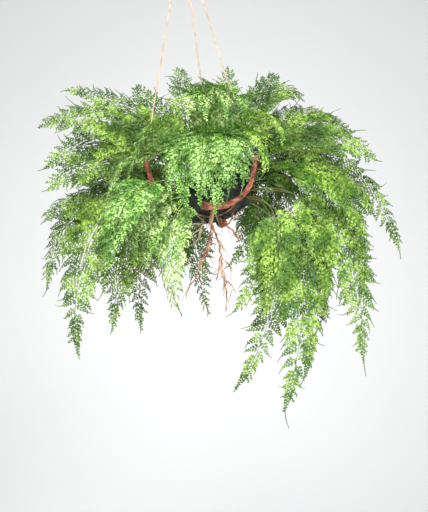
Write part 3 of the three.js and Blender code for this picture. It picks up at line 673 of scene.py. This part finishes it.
def moss_ball():
    """The ball's lumpy skin, and small leaning tufts all over it."""
    directions, faces = ball_directions()
    base = directions * ball_radius(directions)[:, None]
    heights = np.array([moss_height(p) for p in base])
    shape = Shape()
    shape.add(base + directions * heights[:, None], faces, SKIN_LOOK)
    draw = random.Random(SEED)
    origins, frames = [], []
    for _ in range(TUFTS):
        out = unit(drawn(draw, ANY_WAY))
        place = out * float(ball_radius(out))
        origins.append(place + out * (moss_height(place) - TUFT_SEAT))
        lean = unit(out + TUFT_LEAN * np.array(drawn(draw, ANY_WAY)))
        side = unit(np.cross(lean, drawn(draw, ANY_WAY)))
        size = draw.uniform(*TUFT_SIZES)
        frames.append([side * size * TUFT_WIDTH, np.cross(lean, side) * size, lean * size])
    points = np.array(origins)[:, None] + np.einsum("vk,nkd->nvd", TUFT_POINTS, np.array(frames))
    shape.add(points, copied(TUFT_FACES, len(TUFT_POINTS), TUFTS), TUFT_LOOK)
    shape.build("moss_ball_skin", [MOSS, MOSS_TUFT], ["moss_ball"])


moss_ball()


# ---- Roots ----
def out_of_moss(x, y, z):
    return [tuple(on_ball(x, y, z, -STEM_SEAT)), tuple(on_ball(x, y, z, ROOT_CLEAR))]


# Each root is [radius at its start, radius at its end, points].
ROOT_BUNCHES = {
    "roots_front": [
        [2.3, 1.5, out_of_moss(-2, -66, -30) + [
            (-3, -68, -41), (-4, -64, -59), (4, -62, -78), (10, -62, -92), (14, -60, -113), (18, -60, -128)]],
        [1.4, 0.9, [(16, -60, -120), (10, -62, -154), (6, -62, -170)]],
        [1.5, 0.8, [(17, -60, -126), (19, -56, -164), (25, -55, -187), (27, -56, -213), (24, -57, -232)]],
        [1.2, 0.8, [(17, -60, -124), (31, -64, -137), (37, -66, -152)]],
        [1.2, 0.8, [(18, -57, -160), (27, -60, -170), (35, -62, -178), (46, -64, -194)]],
        [1.2, 0.8, [(10, -62, -90), (20, -68, -104), (31, -72, -123)]],
        [1.6, 0.8, [
            (-4, -64, -62), (-8, -60, -102), (-23, -58, -129), (-35, -60, -162), (-51, -62, -189),
            (-55, -63, -207)]],
        [1.2, 0.8, [(-4, -62, -80), (-14, -50, -118), (-16, -46, -150)]],
    ],
    "roots_right": [
        [2.0, 1.2, out_of_moss(12, -34, -50) + [
            (18, -46, -57), (26, -54, -60), (41, -58, -72), (46, -60, -82), (61, -62, -88)]],
        [1.1, 0.8, [(44, -59, -78), (51, -66, -78), (56, -70, -72)]],
        [1.2, 0.8, [(26, -54, -60), (33, -68, -52), (39, -79, -35)]],
        [1.1, 0.8, [(33, -68, -52), (43, -76, -42), (48, -80, -32)]],
    ],
    "roots_pale": [
        [1.7, 0.9, out_of_moss(-20, -36, -46) + [(-20, -50, -56), (-29, -62, -57), (-44, -66, -57)]],
        [1.3, 0.8, [(-20, -50, -56), (-24, -58, -64), (-31, -62, -71), (-43, -64, -79)]],
        [1.2, 0.8, [(-24, -58, -64), (-29, -56, -84), (-41, -56, -98), (-55, -58, -99)]],
    ],
    "roots_left": [
        [2.0, 1.2, out_of_moss(-60, 8, -42) + [
            (-84, -8, -66), (-109, -30, -90), (-129, -48, -113), (-154, -60, -150), (-190, -66, -176)]],
        [1.3, 0.8, [(-84, -8, -66), (-100, -24, -104), (-118, -36, -132), (-140, -44, -166)]],
    ],
}
ROOT_STEP = 2.5
ROOT_END = (0.8, 0.6, 0.3)  # its last points, as shares of the radius
# Roughness: [how far, how many waves for each millimetre, seed].
ROOT_BENDS = [2.6, 0.09, 3.0]
ROOT_KINKS = [1.0, 0.3, 9.0]
KNOBS = [1.15, 0.25, 2.3]  # mean share of the radius, height, length
SEEDS = 50  # the range of a rough line's seed
ROOTLET_PLACES = slice(6, -3, 4)  # among a root's points
ROOTLET_SHARE = 0.8  # of those places, with a rootlet
ROOTLET_REACH = (8, 26)
ROOTLET_DRIFT = [(0, 1), (0, 0.7), (-0.5, 0.6)]  # along x, y and z: the mean and the spread
ROOTLET_WANDER = 1.1
ROOTLET_DROOP = 0.35
ROOTLET_ROUGHNESS = [1.4, 0.25]
ROOTLET_STEP = 2.0
ROOTLET_RADII = (0.7, 0.3)
CLINGING_ROOTS = 2  # to each root
CLINGING_SHARE = (0.35, 0.8)  # of the other root's points
CLINGING_LEAST = 6
CLINGING_TURN = 22  # millimetres for each radian
CLINGING_AWAY = (1.1, 1.7)  # in the other root's radii
CLINGING_RISE = 6
CLINGING_END = 0.6  # from there it leaves the other root
CLINGING_LEAVE = 5
CLINGING_RADII = (0.6, 0.3)  # in the other root's radii
CLINGING_ROUGHNESS = [1.6, 0.15]
RED_LOOK, PALE_LOOK = range(2)
PALE_NUMBER = 5  # the root of a red bunch that has pale bark
FIRST_ROOT_SEED = SEED + 20


def root(shape, start_radius, end_radius, points, draw, look):
    """A crooked root with knobs, thinner ones that cling to its upper part, and fine rootlets."""
    path = evenly(smooth_path(points), ROOT_STEP)
    path = roughened(roughened(path, *ROOT_BENDS), *ROOT_KINKS)
    share = np.linspace(0, 1, len(path))
    mean, height, length = KNOBS
    knobs = mean + height * np.sin(share * len(path) / length + draw.uniform(0, 6)) ** 3
    radii = (start_radius + (end_radius - start_radius) * share) * knobs
    radii[-3:] *= ROOT_END
    shape.tube(path, radii, sides=7, look=look)
    for _ in range(CLINGING_ROOTS):
        clinging_root(shape, path, start_radius, draw, draw.choice((look, PALE_LOOK)))
    for i in range(len(path))[ROOTLET_PLACES]:
        if draw.random() < ROOTLET_SHARE:
            rootlet(shape, path[i], path[i] - path[i - 1], draw, look)


def clinging_root(shape, path, radius, draw, look):
    """A thin root that winds round the first part of another."""
    count = int(len(path) * draw.uniform(*CLINGING_SHARE))
    if count < CLINGING_LEAST:
        return
    _, normals, others = carried(path[:count])
    share = np.linspace(0, 1, count)
    angle = draw.uniform(0, 6) + draw.choice((-1, 1)) * share * count * ROOT_STEP / CLINGING_TURN
    away = radius * draw.uniform(*CLINGING_AWAY) * np.clip(CLINGING_RISE * share, 0, 1)
    away += CLINGING_LEAVE * np.clip(share - CLINGING_END, 0, 1)
    first = (away * np.cos(angle))[:, None] * normals
    second = (away * np.sin(angle))[:, None] * others
    thick = radius * np.linspace(*CLINGING_RADII, count)
    line = roughened(path[:count] + first + second, *CLINGING_ROUGHNESS, draw.uniform(0, SEEDS))
    shape.tube(line, thick, sides=6, look=look)


def rootlet(shape, start, along, draw, look):
    """A fine root that leaves another one on a line of its own and hangs a little."""
    reach = draw.uniform(*ROOTLET_REACH)
    aim = unit(unit(along) + ROOTLET_WANDER * np.array(drawn(draw, ROOTLET_DRIFT)))
    ends = [start, start + aim * reach * 0.5, start + (aim - [0, 0, ROOTLET_DROOP]) * reach]
    path = evenly(smooth_path(ends, 6), ROOTLET_STEP)
    path = roughened(path, *ROOTLET_ROUGHNESS, draw.uniform(0, SEEDS))
    shape.tube(path, np.linspace(*ROOTLET_RADII, len(path)), sides=4, look=look)


def root_bunches():
    for number, (name, bunch) in enumerate(ROOT_BUNCHES.items()):
        pale = name == "roots_pale"
        draw = random.Random(FIRST_ROOT_SEED + number)
        shape = Shape()
        for i, (start_radius, end_radius, points) in enumerate(bunch):
            look = PALE_LOOK if pale or i == PALE_NUMBER else RED_LOOK
            root(shape, start_radius, end_radius, points, draw, look)
        shape.build(f"{name}_fine", [ROOT_BARK, PALE_ROOT_BARK], [name])


root_bunches()


# ---- Fronds ----
LENGTH_POINTS = 201  # for measuring a line


class Line:
    """A frond's line from the ball to its tip, and its blade's frame along it, as in the solids."""

    def __init__(self, start, crest, tip, roll, stem_share):
        self.ends = np.array([start, crest, tip], float)
        self.plane = unit(np.cross(tip - start, crest - start))
        self.roll = math.radians(roll)
        self.stem_share = stem_share

    def points(self, share):
        s = np.asarray(share, float)[..., None]
        a, b, c = self.ends
        return a * (1 - s) ** 2 + 2 * b * s * (1 - s) + c * s**2

    def frames(self, share):
        """Directions along the line, across the blade, and out of its upper face."""
        s = np.asarray(share, float)
        a, b, c = self.ends
        along = unit((b - a) * (1 - s)[..., None] + (c - b) * s[..., None])
        eased = np.clip(s / self.stem_share, 0, 1)
        angle = (self.roll * eased * eased * (3 - 2 * eased))[..., None]
        across = self.plane * np.cos(angle) + np.cross(along, self.plane) * np.sin(angle)
        return along, across, np.cross(across, along)


def crown_lines(crown, change):
    """The lines of a crown's fronds, after a change of (turn, lift, roll)."""
    turn, lift, roll = change
    rows = np.array(crown, float)
    tips = turned(rows[:, :3], [0, 0, 1], math.radians(turn))
    crests = turned(rows[:, 3:6], [0, 0, 1], math.radians(turn)) + np.array([0, 0, lift])
    start = on_ball(*crests.sum(axis=0), -STEM_SEAT)
    return [Line(start, crest, tip, row[7] + roll, row[8]) for row, crest, tip in zip(rows, crests, tips)]


def blade_shares(line, count):
    """Places of the side branches, as shares of the blade and of the whole line."""
    u = (1 - TAIL_SHARE) * (1 - (1 - np.arange(count + 1) / count) ** PAIR_CROWDING)
    return u, line.stem_share + (1 - line.stem_share) * u


def pair_count(line):
    whole = length_of(line.points(np.linspace(0, 1, LENGTH_POINTS)))
    return min(MOST_PAIRS, max(LEAST_PAIRS, round(whole * (1 - line.stem_share) / PAIR_PITCH)))


def rib_corners(line):
    """The corners of the solid's rib: two above and the keel below."""
    u, shares = blade_shares(line, pair_count(line))
    _, across, out = line.frames(shares)
    slim = (1 - RIB_TAPER * u)[:, None]
    centres = line.points(shares)
    return np.concatenate([
        centres + x * RIB_HALF_WIDTH * slim * across + y * RIB_HALF_THICKNESS * slim * out
        for x, y in ((-1, 1), (1, 1), (0, -1))])


def change_of(crown, node):
    """The (turn, lift, roll) with which this crown was placed: the one whose ribs are the solid's."""
    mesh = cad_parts[node].data
    solid = np.array([v.co for v in mesh.vertices]) / MM - BALL_CENTRE
    best = None
    for change in product(TURNS, LIFTS, ROLLS):
        corners = rib_corners(crown_lines(crown, change)[0])
        gaps = np.linalg.norm(corners[:, None] - solid[None], axis=2).min(axis=1)
        score = float(np.median(gaps))
        if best is None or score < best[0]:
            best = (score, change)
    if best[0] > RIB_MATCH:
        raise ValueError(f"{node} isn't where its row says: {best}")
    return best[1]


def with_inner(crown, index):
    """A side crown of one long frond has a short inner one too."""
    row = crown[0]
    if len(crown) > 1 or row[1] < FURTHEST_FORWARD or abs(row[0]) < LEAST_ASIDE:
        return crown
    turn = INNER_TURN if index % 2 == 0 else -INNER_TURN
    inner = []
    for (x, y, z), (share, added) in ((row[:3], INNER_TIP_HEIGHT), (row[3:6], INNER_BEND_HEIGHT)):
        inner += [*(INNER_REACH * turned([x, y, 0], [0, 0, 1], turn))[:2], share * z + added]
    return [row, inner + [INNER_HALF_WIDTH, row[7], INNER_STEM_SHARE]]


# A leaflet of unit length, with a notch in its broad end. Its halves rise from the middle.
LEAFLET = np.array([
    [0, 0, 0], [0.42, -0.34, 0.05], [0.90, -0.38, 0.10],
    [0.84, 0, 0.0], [0.90, 0.38, 0.10], [0.42, 0.34, 0.05]])
LEAFLET_FACES = [[0, 5, 4, 3], [0, 3, 2, 1]]
LEAFLET_SIZE = 4.8  # on a long side branch
LEAFLET_SPREAD = (0.88, 1.1)
LEAFLET_PITCH = 0.68  # along a side of a pinnule, in leaflets
LEAFLET_LEAN = math.radians(48)
LEAFLET_LEAN_LOSS = 0.25  # towards a pinnule's end
LEAFLET_SHRINK = 0.28  # towards a pinnule's end
LEAFLET_SLOPES = [(-0.08, 0.22), (0, 0.3)]  # along and across: the mean and the spread
END_SLOPES = [(-0.14, 0.2), (0, 0.25)]
# Lengths before a pinnule's end, in leaflets: of the count, of the last side leaflet, of the end one.
COUNT_MARGIN, SIDE_MARGIN, END_MARGIN = 0.5, 0.6, 0.9
LEAST_FINENESS = 0.66  # of the leaflets on the shortest side branches
FULL_LENGTH = 58.0  # of a side branch with leaflets of the full size
PINNULE_PITCH = 8.0  # along each side of a side branch, at its foot
PINNULE_PITCH_LOSS = 0.38  # towards its end
PINNULE_REACH = 0.39  # of a side branch's length
PINNULE_SPREAD = (0.9, 1.08)
PINNULE_GROWTH = (0.62, 2.6)  # at a side branch's foot, and along it
PINNULE_FALL = 0.85
PINNULE_MOST = 28.0
PINNULE_LEAST = 4.8
PINNULE_FOOT = 3.0
PINNULE_FOOT_SHARE = 0.25  # of a short side branch
PINNULE_HEADINGS = (56, 64)  # in degrees
PINNULE_TURN = 16  # in degrees, towards a side branch's end
PINNULE_SAG = 0.10
PINNULE_DROOP = 0.006
VEIN_HEIGHTS = (0.1, -0.6)
VEIN_SHARE = 0.9  # of a pinnule
VEIN_WIDTH = 0.44
LEAFY_SHARE = 0.88  # of a side branch, before its bare tail
LAYOUT_STEP = 3.0  # side branches alike to this length share a layout
LAYOUT_KINDS = 4
BRANCH_TWIST = 0.22
BRANCH_SWEEP = (0.02, 0.16)  # forwards, in its lengths
BRANCH_CURL = 0.05
BRANCH_SPREAD = (0.92, 1.06)
LEAN_SPREAD = 4  # in degrees
TAIL_OVER = 0.30  # how far the tail passes the solid's side branch
TAIL_LENGTHS = (0.1, 1.1)
TAIL_POINTS = 12
TAIL_START = 0.75
TAIL_CURL = (0.3, 1.1)
TAIL_LIFT = (0.2, 0.5)
# Radii of a side branch's stalk and tail, by how many of its lengths from its foot.
TAIL_RADII = [(0, 0.62), (0.6, 0.45), (0.85, 0.9), (1.1, 0.8), (1 + TAIL_OVER, 0.35)]
EXTRA_PAIRS = 6  # besides the solid's, before both are doubled
LAST_BRANCH = 0.9  # of the blade
END_START = 0.55  # of the blade: from there the side branches shrink faster
END_TAPER = 0.45  # how much shorter the last one is
LADDER_FOOT = 0.78  # of the blade: from there its end is like a side branch
LADDER_LENGTH = 0.95  # of what is left of the blade
LADDER_REACH = 0.2  # of its length
STEM_RADII = (1.35, 0.95, 0.7, 0.6)  # at its foot, the blade's foot, SLIM_SHARE and the ladder's foot
SLIM_SHARE = 0.6
STEM_POINTS = 34
LEAF_LOOK, STALK_LOOK, TAIL_LOOK, SHADED_INNER_LOOK = range(4)
# The front crowns' leaves: lit copies of the leaf green, which are painted light.
LIT_FRONT_LEAVES = ["front", "pale", "lit_bright", "lit_bright", "pale", "pale", "pale", "lit_bright"]
# Where a side crown's first tip is, for its leaves to be the front, middle or green ones. The further back it
# stands, the less painted light and the more painted shade its copy of the leaf green has.
FRONT_Y = -180
MIDDLE_Y = -55
MIDDLE_X = -150
GREEN_Y = 60
FIRST_FROND_SEED = SEED + 100
layouts = {}


def leaflet_points(origin, heading, size, rise, slopes):
    """The corners of one leaflet on a flat side branch: along it, across it and above it."""
    c, s = math.cos(heading), math.sin(heading)
    x, y, z = (LEAFLET * size).T
    above = rise + z + slopes[0] * x + slopes[1] * y
    return np.stack([origin[0] + c * x - s * y, origin[1] + s * x + c * y, above], 1)


def pinnule_leaflets(foot, side, heading, reach, fineness, draw):
    """A pinnule's leaflets as corners, by turns on its two sides and one at its end, and its vein."""
    out = []
    full = LEAFLET_SIZE * fineness
    c, s = math.cos(heading), side * math.sin(heading)
    count = max(0, int((reach - COUNT_MARGIN * full) / (LEAFLET_PITCH * full) * 2))
    for k in range(count):
        share = (k + 1) / (count + 1)
        distance = share * (reach - SIDE_MARGIN * full)
        turn = LEAFLET_LEAN * (1 if k % 2 else -1) * (1 - LEAFLET_LEAN_LOSS * share)
        size = full * (1 - LEAFLET_SHRINK * share) * draw.uniform(*LEAFLET_SPREAD)
        slopes = drawn(draw, LEAFLET_SLOPES)
        origin = (foot + distance * c, distance * s)
        rise = -PINNULE_SAG * share * distance
        out.append(leaflet_points(origin, side * (heading + turn), size, rise, slopes))
    end = max(0.0, reach - END_MARGIN * full)
    slopes = drawn(draw, END_SLOPES)
    origin = (foot + end * c, end * s)
    out.append(leaflet_points(origin, side * heading, min(reach, full), -PINNULE_SAG * end, slopes))
    low, high = VEIN_HEIGHTS
    tip = VEIN_SHARE * reach
    return out, np.array([[foot, 0, low], [foot + tip * c, tip * s, high]])


def layout_of(length, kind, reach_share):
    """The leaflets and veins of a side branch laid flat. Its pinnules are on its two sides by turns."""
    key = (max(2, round(length / LAYOUT_STEP)), kind, reach_share)
    if key in layouts:
        return layouts[key]
    draw = random.Random(SEED * 1000 + 10 * key[0] + kind)
    length = key[0] * LAYOUT_STEP
    fineness = min(1.0, LEAST_FINENESS + (1 - LEAST_FINENESS) * length / FULL_LENGTH)
    leaflets, veins = [], []
    along = min(PINNULE_FOOT, PINNULE_FOOT_SHARE * length)
    side = 1 if kind % 2 else -1
    first, growth = PINNULE_GROWTH
    while along < LEAFY_SHARE * length:
        share = along / length
        swell = min(1.0, first + growth * share)
        reach = min(PINNULE_MOST, reach_share * length * swell * (1 - share) ** PINNULE_FALL)
        reach = max(PINNULE_LEAST * fineness, reach * draw.uniform(*PINNULE_SPREAD))
        heading = math.radians(draw.uniform(*PINNULE_HEADINGS) - PINNULE_TURN * share)
        more, vein = pinnule_leaflets(along, side, heading, reach, fineness, draw)
        leaflets += more
        veins.append(vein)
        along += 0.5 * PINNULE_PITCH * fineness * (1 - PINNULE_PITCH_LOSS * share)
        side = -side
    layouts[key] = (np.array(leaflets), np.array(veins))
    return layouts[key]


class SideBranch:
    """One side branch's surface: it droops and sweeps forward, and its leaflets lie on it."""

    def __init__(self, foot, outward, wide, flat, length, draw):
        twist = draw.gauss(0, BRANCH_TWIST)
        self.foot = foot
        self.outward = outward
        self.wide = wide * math.cos(twist) + flat * math.sin(twist)
        self.flat = flat * math.cos(twist) - wide * math.sin(twist)
        self.length = length
        self.sweep = draw.uniform(*BRANCH_SWEEP)
        self.droop = BRANCH_DROOP + draw.gauss(0, BRANCH_CURL)

    def lay(self, points):
        """Flat points, along, across and above the side branch, put in place."""
        x, y, z = points[..., 0], points[..., 1], points[..., 2]
        share = x / self.length
        bent = self.length * share * share
        across = y + self.sweep * bent
        above = z - self.droop * bent - PINNULE_DROOP * y * y
        return (self.foot + x[..., None] * self.outward + across[..., None] * self.wide
                + above[..., None] * self.flat)

    def grow(self, shape, kind, look, reach_share=PINNULE_REACH):
        """Its leaflets, and a narrow vein under those of each pinnule."""
        leaflets, veins = layout_of(self.length, kind, reach_share)
        shape.add(self.lay(leaflets), copied(LEAFLET_FACES, len(LEAFLET), len(leaflets)), look)
        corners = veins[:, [0, 1, 1, 0]]
        corners[:, 2:, 0] += VEIN_WIDTH
        shape.add(self.lay(corners), copied([[0, 1, 2, 3]], 4, len(veins)), STALK_LOOK)

    def tail(self, shape, draw):
        """The stalk, which ends as a bare tail that curls to one side."""
        marks = np.linspace(0, 1 + TAIL_OVER * draw.uniform(*TAIL_LENGTHS) ** 2, TAIL_POINTS)
        flat = np.zeros((len(marks), 3))
        flat[:, 0] = marks * self.length
        past = np.clip(marks - TAIL_START, 0, None)
        flat[:, 1] = draw.choice((-1, 1)) * draw.uniform(*TAIL_CURL) * self.length * past**2
        flat[:, 2] = draw.gauss(*TAIL_LIFT) * self.length * past**2
        shape.tube(self.lay(flat), np.interp(marks, *zip(*TAIL_RADII)), sides=4, look=TAIL_LOOK)


def branch_share(u):
    """A side branch's length, as a share of the blade's half width, by its place along the blade."""
    return min(FOOT_FULLNESS + FOOT_GROWTH * u, MIDDLE_FULLNESS * (1 - u) ** TIP_FULLNESS)


def side_branch(line, half_width, u, side, draw):
    """The side branch at u along the blade, as in the solids, but finer and each a little different."""
    share = line.stem_share + (1 - line.stem_share) * u
    along, across, out = line.frames(share)
    lean = BRANCH_LEAN - BRANCH_LEAN_LOSS * u + math.radians(draw.gauss(0, LEAN_SPREAD))
    outward = unit(across * side * math.sin(lean) + along * math.cos(lean))
    wide = unit(along * math.sin(lean) - across * side * math.cos(lean))
    length = half_width * branch_share(u) * draw.uniform(*BRANCH_SPREAD)
    length *= 1 - END_TAPER * max(0.0, (u - END_START) / (1 - END_START))
    return SideBranch(line.points(share), outward, wide, out, length, draw)


def frond(shape, line, half_width, draw, look):
    """A frond's side branches by turns on its two sides, its end and its stem."""
    count = 2 * (pair_count(line) + EXTRA_PAIRS)
    for i, u in enumerate(LAST_BRANCH * (1 - (1 - np.arange(count + 1) / count) ** PAIR_CROWDING)):
        branch = side_branch(line, half_width, u, 1 if i % 2 else -1, draw)
        branch.grow(shape, draw.randrange(LAYOUT_KINDS), look)
        branch.tail(shape, draw)
    foot = line.stem_share + (1 - line.stem_share) * LADDER_FOOT
    ladder(shape, line, foot, draw, look)
    marks = np.linspace(0, foot, STEM_POINTS)
    thick = np.interp(marks, [0, line.stem_share, SLIM_SHARE, foot], STEM_RADII)
    shape.tube(line.points(marks), thick, sides=6, look=STALK_LOOK)


def ladder(shape, line, foot_share, draw, look):
    """The end of a frond: one row of small pinnules to each side, and the frond's own tail."""
    _, across, out = line.frames(foot_share)
    foot, tip = line.points([foot_share, 1.0])
    length = LADDER_LENGTH * float(np.linalg.norm(tip - foot))
    branch = SideBranch(foot, unit(tip - foot), draw.choice((-1, 1)) * across, out, length, draw)
    branch.grow(shape, draw.randrange(LAYOUT_KINDS), look, LADDER_REACH)
    branch.tail(shape, draw)


def lit_or_shaded_leaf_of(index, crown):
    """The name of a crown's leaves: pale and bright ones in front, deeper ones towards the back. These are
    copies of one leaf green, with painted light in front and painted shade towards the back.
    """
    if index < len(LIT_FRONT_LEAVES):
        return LIT_FRONT_LEAVES[index]
    x, y = crown[0][:2]
    if y < FRONT_Y:
        return "front"
    if y < MIDDLE_Y and x > MIDDLE_X:
        return "mid"
    return "green" if y < GREEN_Y else "shaded_deep"


def crown_of_fronds(index, crown):
    """One crown's fronds as one piece. The inner frond of a crown that isn't in front takes the darker inner
    copy of the leaf green, which is painted shade.
    """
    node = f"frond_{index + 1:02d}"
    front = index < len(FRONT_CROWNS)
    draw = random.Random(FIRST_FROND_SEED + index)
    shape = Shape()
    for number, (line, row) in enumerate(zip(crown_lines(crown, change_of(crown, node)), crown)):
        # An inner frond of a side crown gets painted shade: the darker inner copy of the leaf green.
        inner = not front and number > 0 and crown[0][1] > FURTHEST_FORWARD
        frond(shape, line, row[6], draw, SHADED_INNER_LOOK if inner else LEAF_LOOK)
    looks = [LIT_AND_SHADED_LEAVES[lit_or_shaded_leaf_of(index, crown)], FRONT_STALK if front else STALK, TAIL, LIT_AND_SHADED_LEAVES["inner"]]
    shape.build(f"{node}_leaves", looks, [node])


side_crowns = [with_inner(crown, i) for i, crown in enumerate(SIDE_CROWNS)]
for index, crown in enumerate(FRONT_CROWNS + side_crowns):
    crown_of_fronds(index, crown)

# ---- The backdrop and the light, in metres and watts ----
FLOOR_Z = -2.2
WALL_Y = 4.0
WALL_TOP = 4.2
STAGE_HALF = 6.0
CURVE = 0.9  # radius of the bend between the floor and the wall
CURVE_STEPS = 12
PAPER = (0.93, 0.938, 0.942)
MIDDLE = (0.06, 0.0, -0.62)
WALL_MIDDLE = (0.06, WALL_Y, -0.9)
# Each lamp is [name, place, the point that it is turned to, size, power, colour].
LAMPS = [
    ["key", (-0.1, -2.5, 0.95), MIDDLE, 1.0, 108, (1.0, 0.99, 0.96)],
    ["fill", (0.5, -2.7, -0.45), MIDDLE, 2.4, 58, (0.99, 0.995, 1.0)],
    ["wall", (0.0, 1.9, -0.75), WALL_MIDDLE, 0.8, 17, WHITE],
    ["back", (-0.7, 3.0, 0.7), MIDDLE, 1.6, 26, WHITE],
]
SKY = (0.97, 0.985, 1.0, 1)
SKY_STRENGTH = 0.26


def backdrop():
    """A pale floor that turns up into a pale wall."""
    profile = [(-STAGE_HALF, FLOOR_Z)]
    for k in range(CURVE_STEPS + 1):
        angle = math.pi / 2 * k / CURVE_STEPS
        profile.append((WALL_Y - CURVE + CURVE * math.sin(angle), FLOOR_Z + CURVE - CURVE * math.cos(angle)))
    profile.append((WALL_Y, WALL_TOP))
    points = [(x, y, z) for y, z in profile for x in (-STAGE_HALF, STAGE_HALF)]
    faces = [[2 * i, 2 * i + 1, 2 * i + 3, 2 * i + 2] for i in range(len(profile) - 1)]
    mesh = new_mesh("backdrop", points, faces, [paper_material("paper_backdrop", PAPER)])
    piece = new_object("backdrop", mesh)


def area_light(name, place, aim, size, power, colour):
    data = bpy.data.lights.new(name, "AREA")
    data.shape = "DISK"
    data.size = size
    data.energy = power
    data.color = colour
    light = new_object(name, data)
    light.location = place
    direction = Vector(aim) - Vector(place)
    light.rotation_euler = direction.to_track_quat("-Z", "Y").to_euler()
    light.visible_camera = False


def surroundings():
    world = bpy.data.worlds.new("studio")
    world.use_nodes = True
    background = world.node_tree.nodes["Background"]
    background.inputs["Color"].default_value = SKY
    background.inputs["Strength"].default_value = SKY_STRENGTH
    bpy.context.scene.world = world


backdrop()
for lamp in LAMPS:
    area_light(*lamp)
surroundings()
bpy.context.scene.view_settings.view_transform = "Standard"
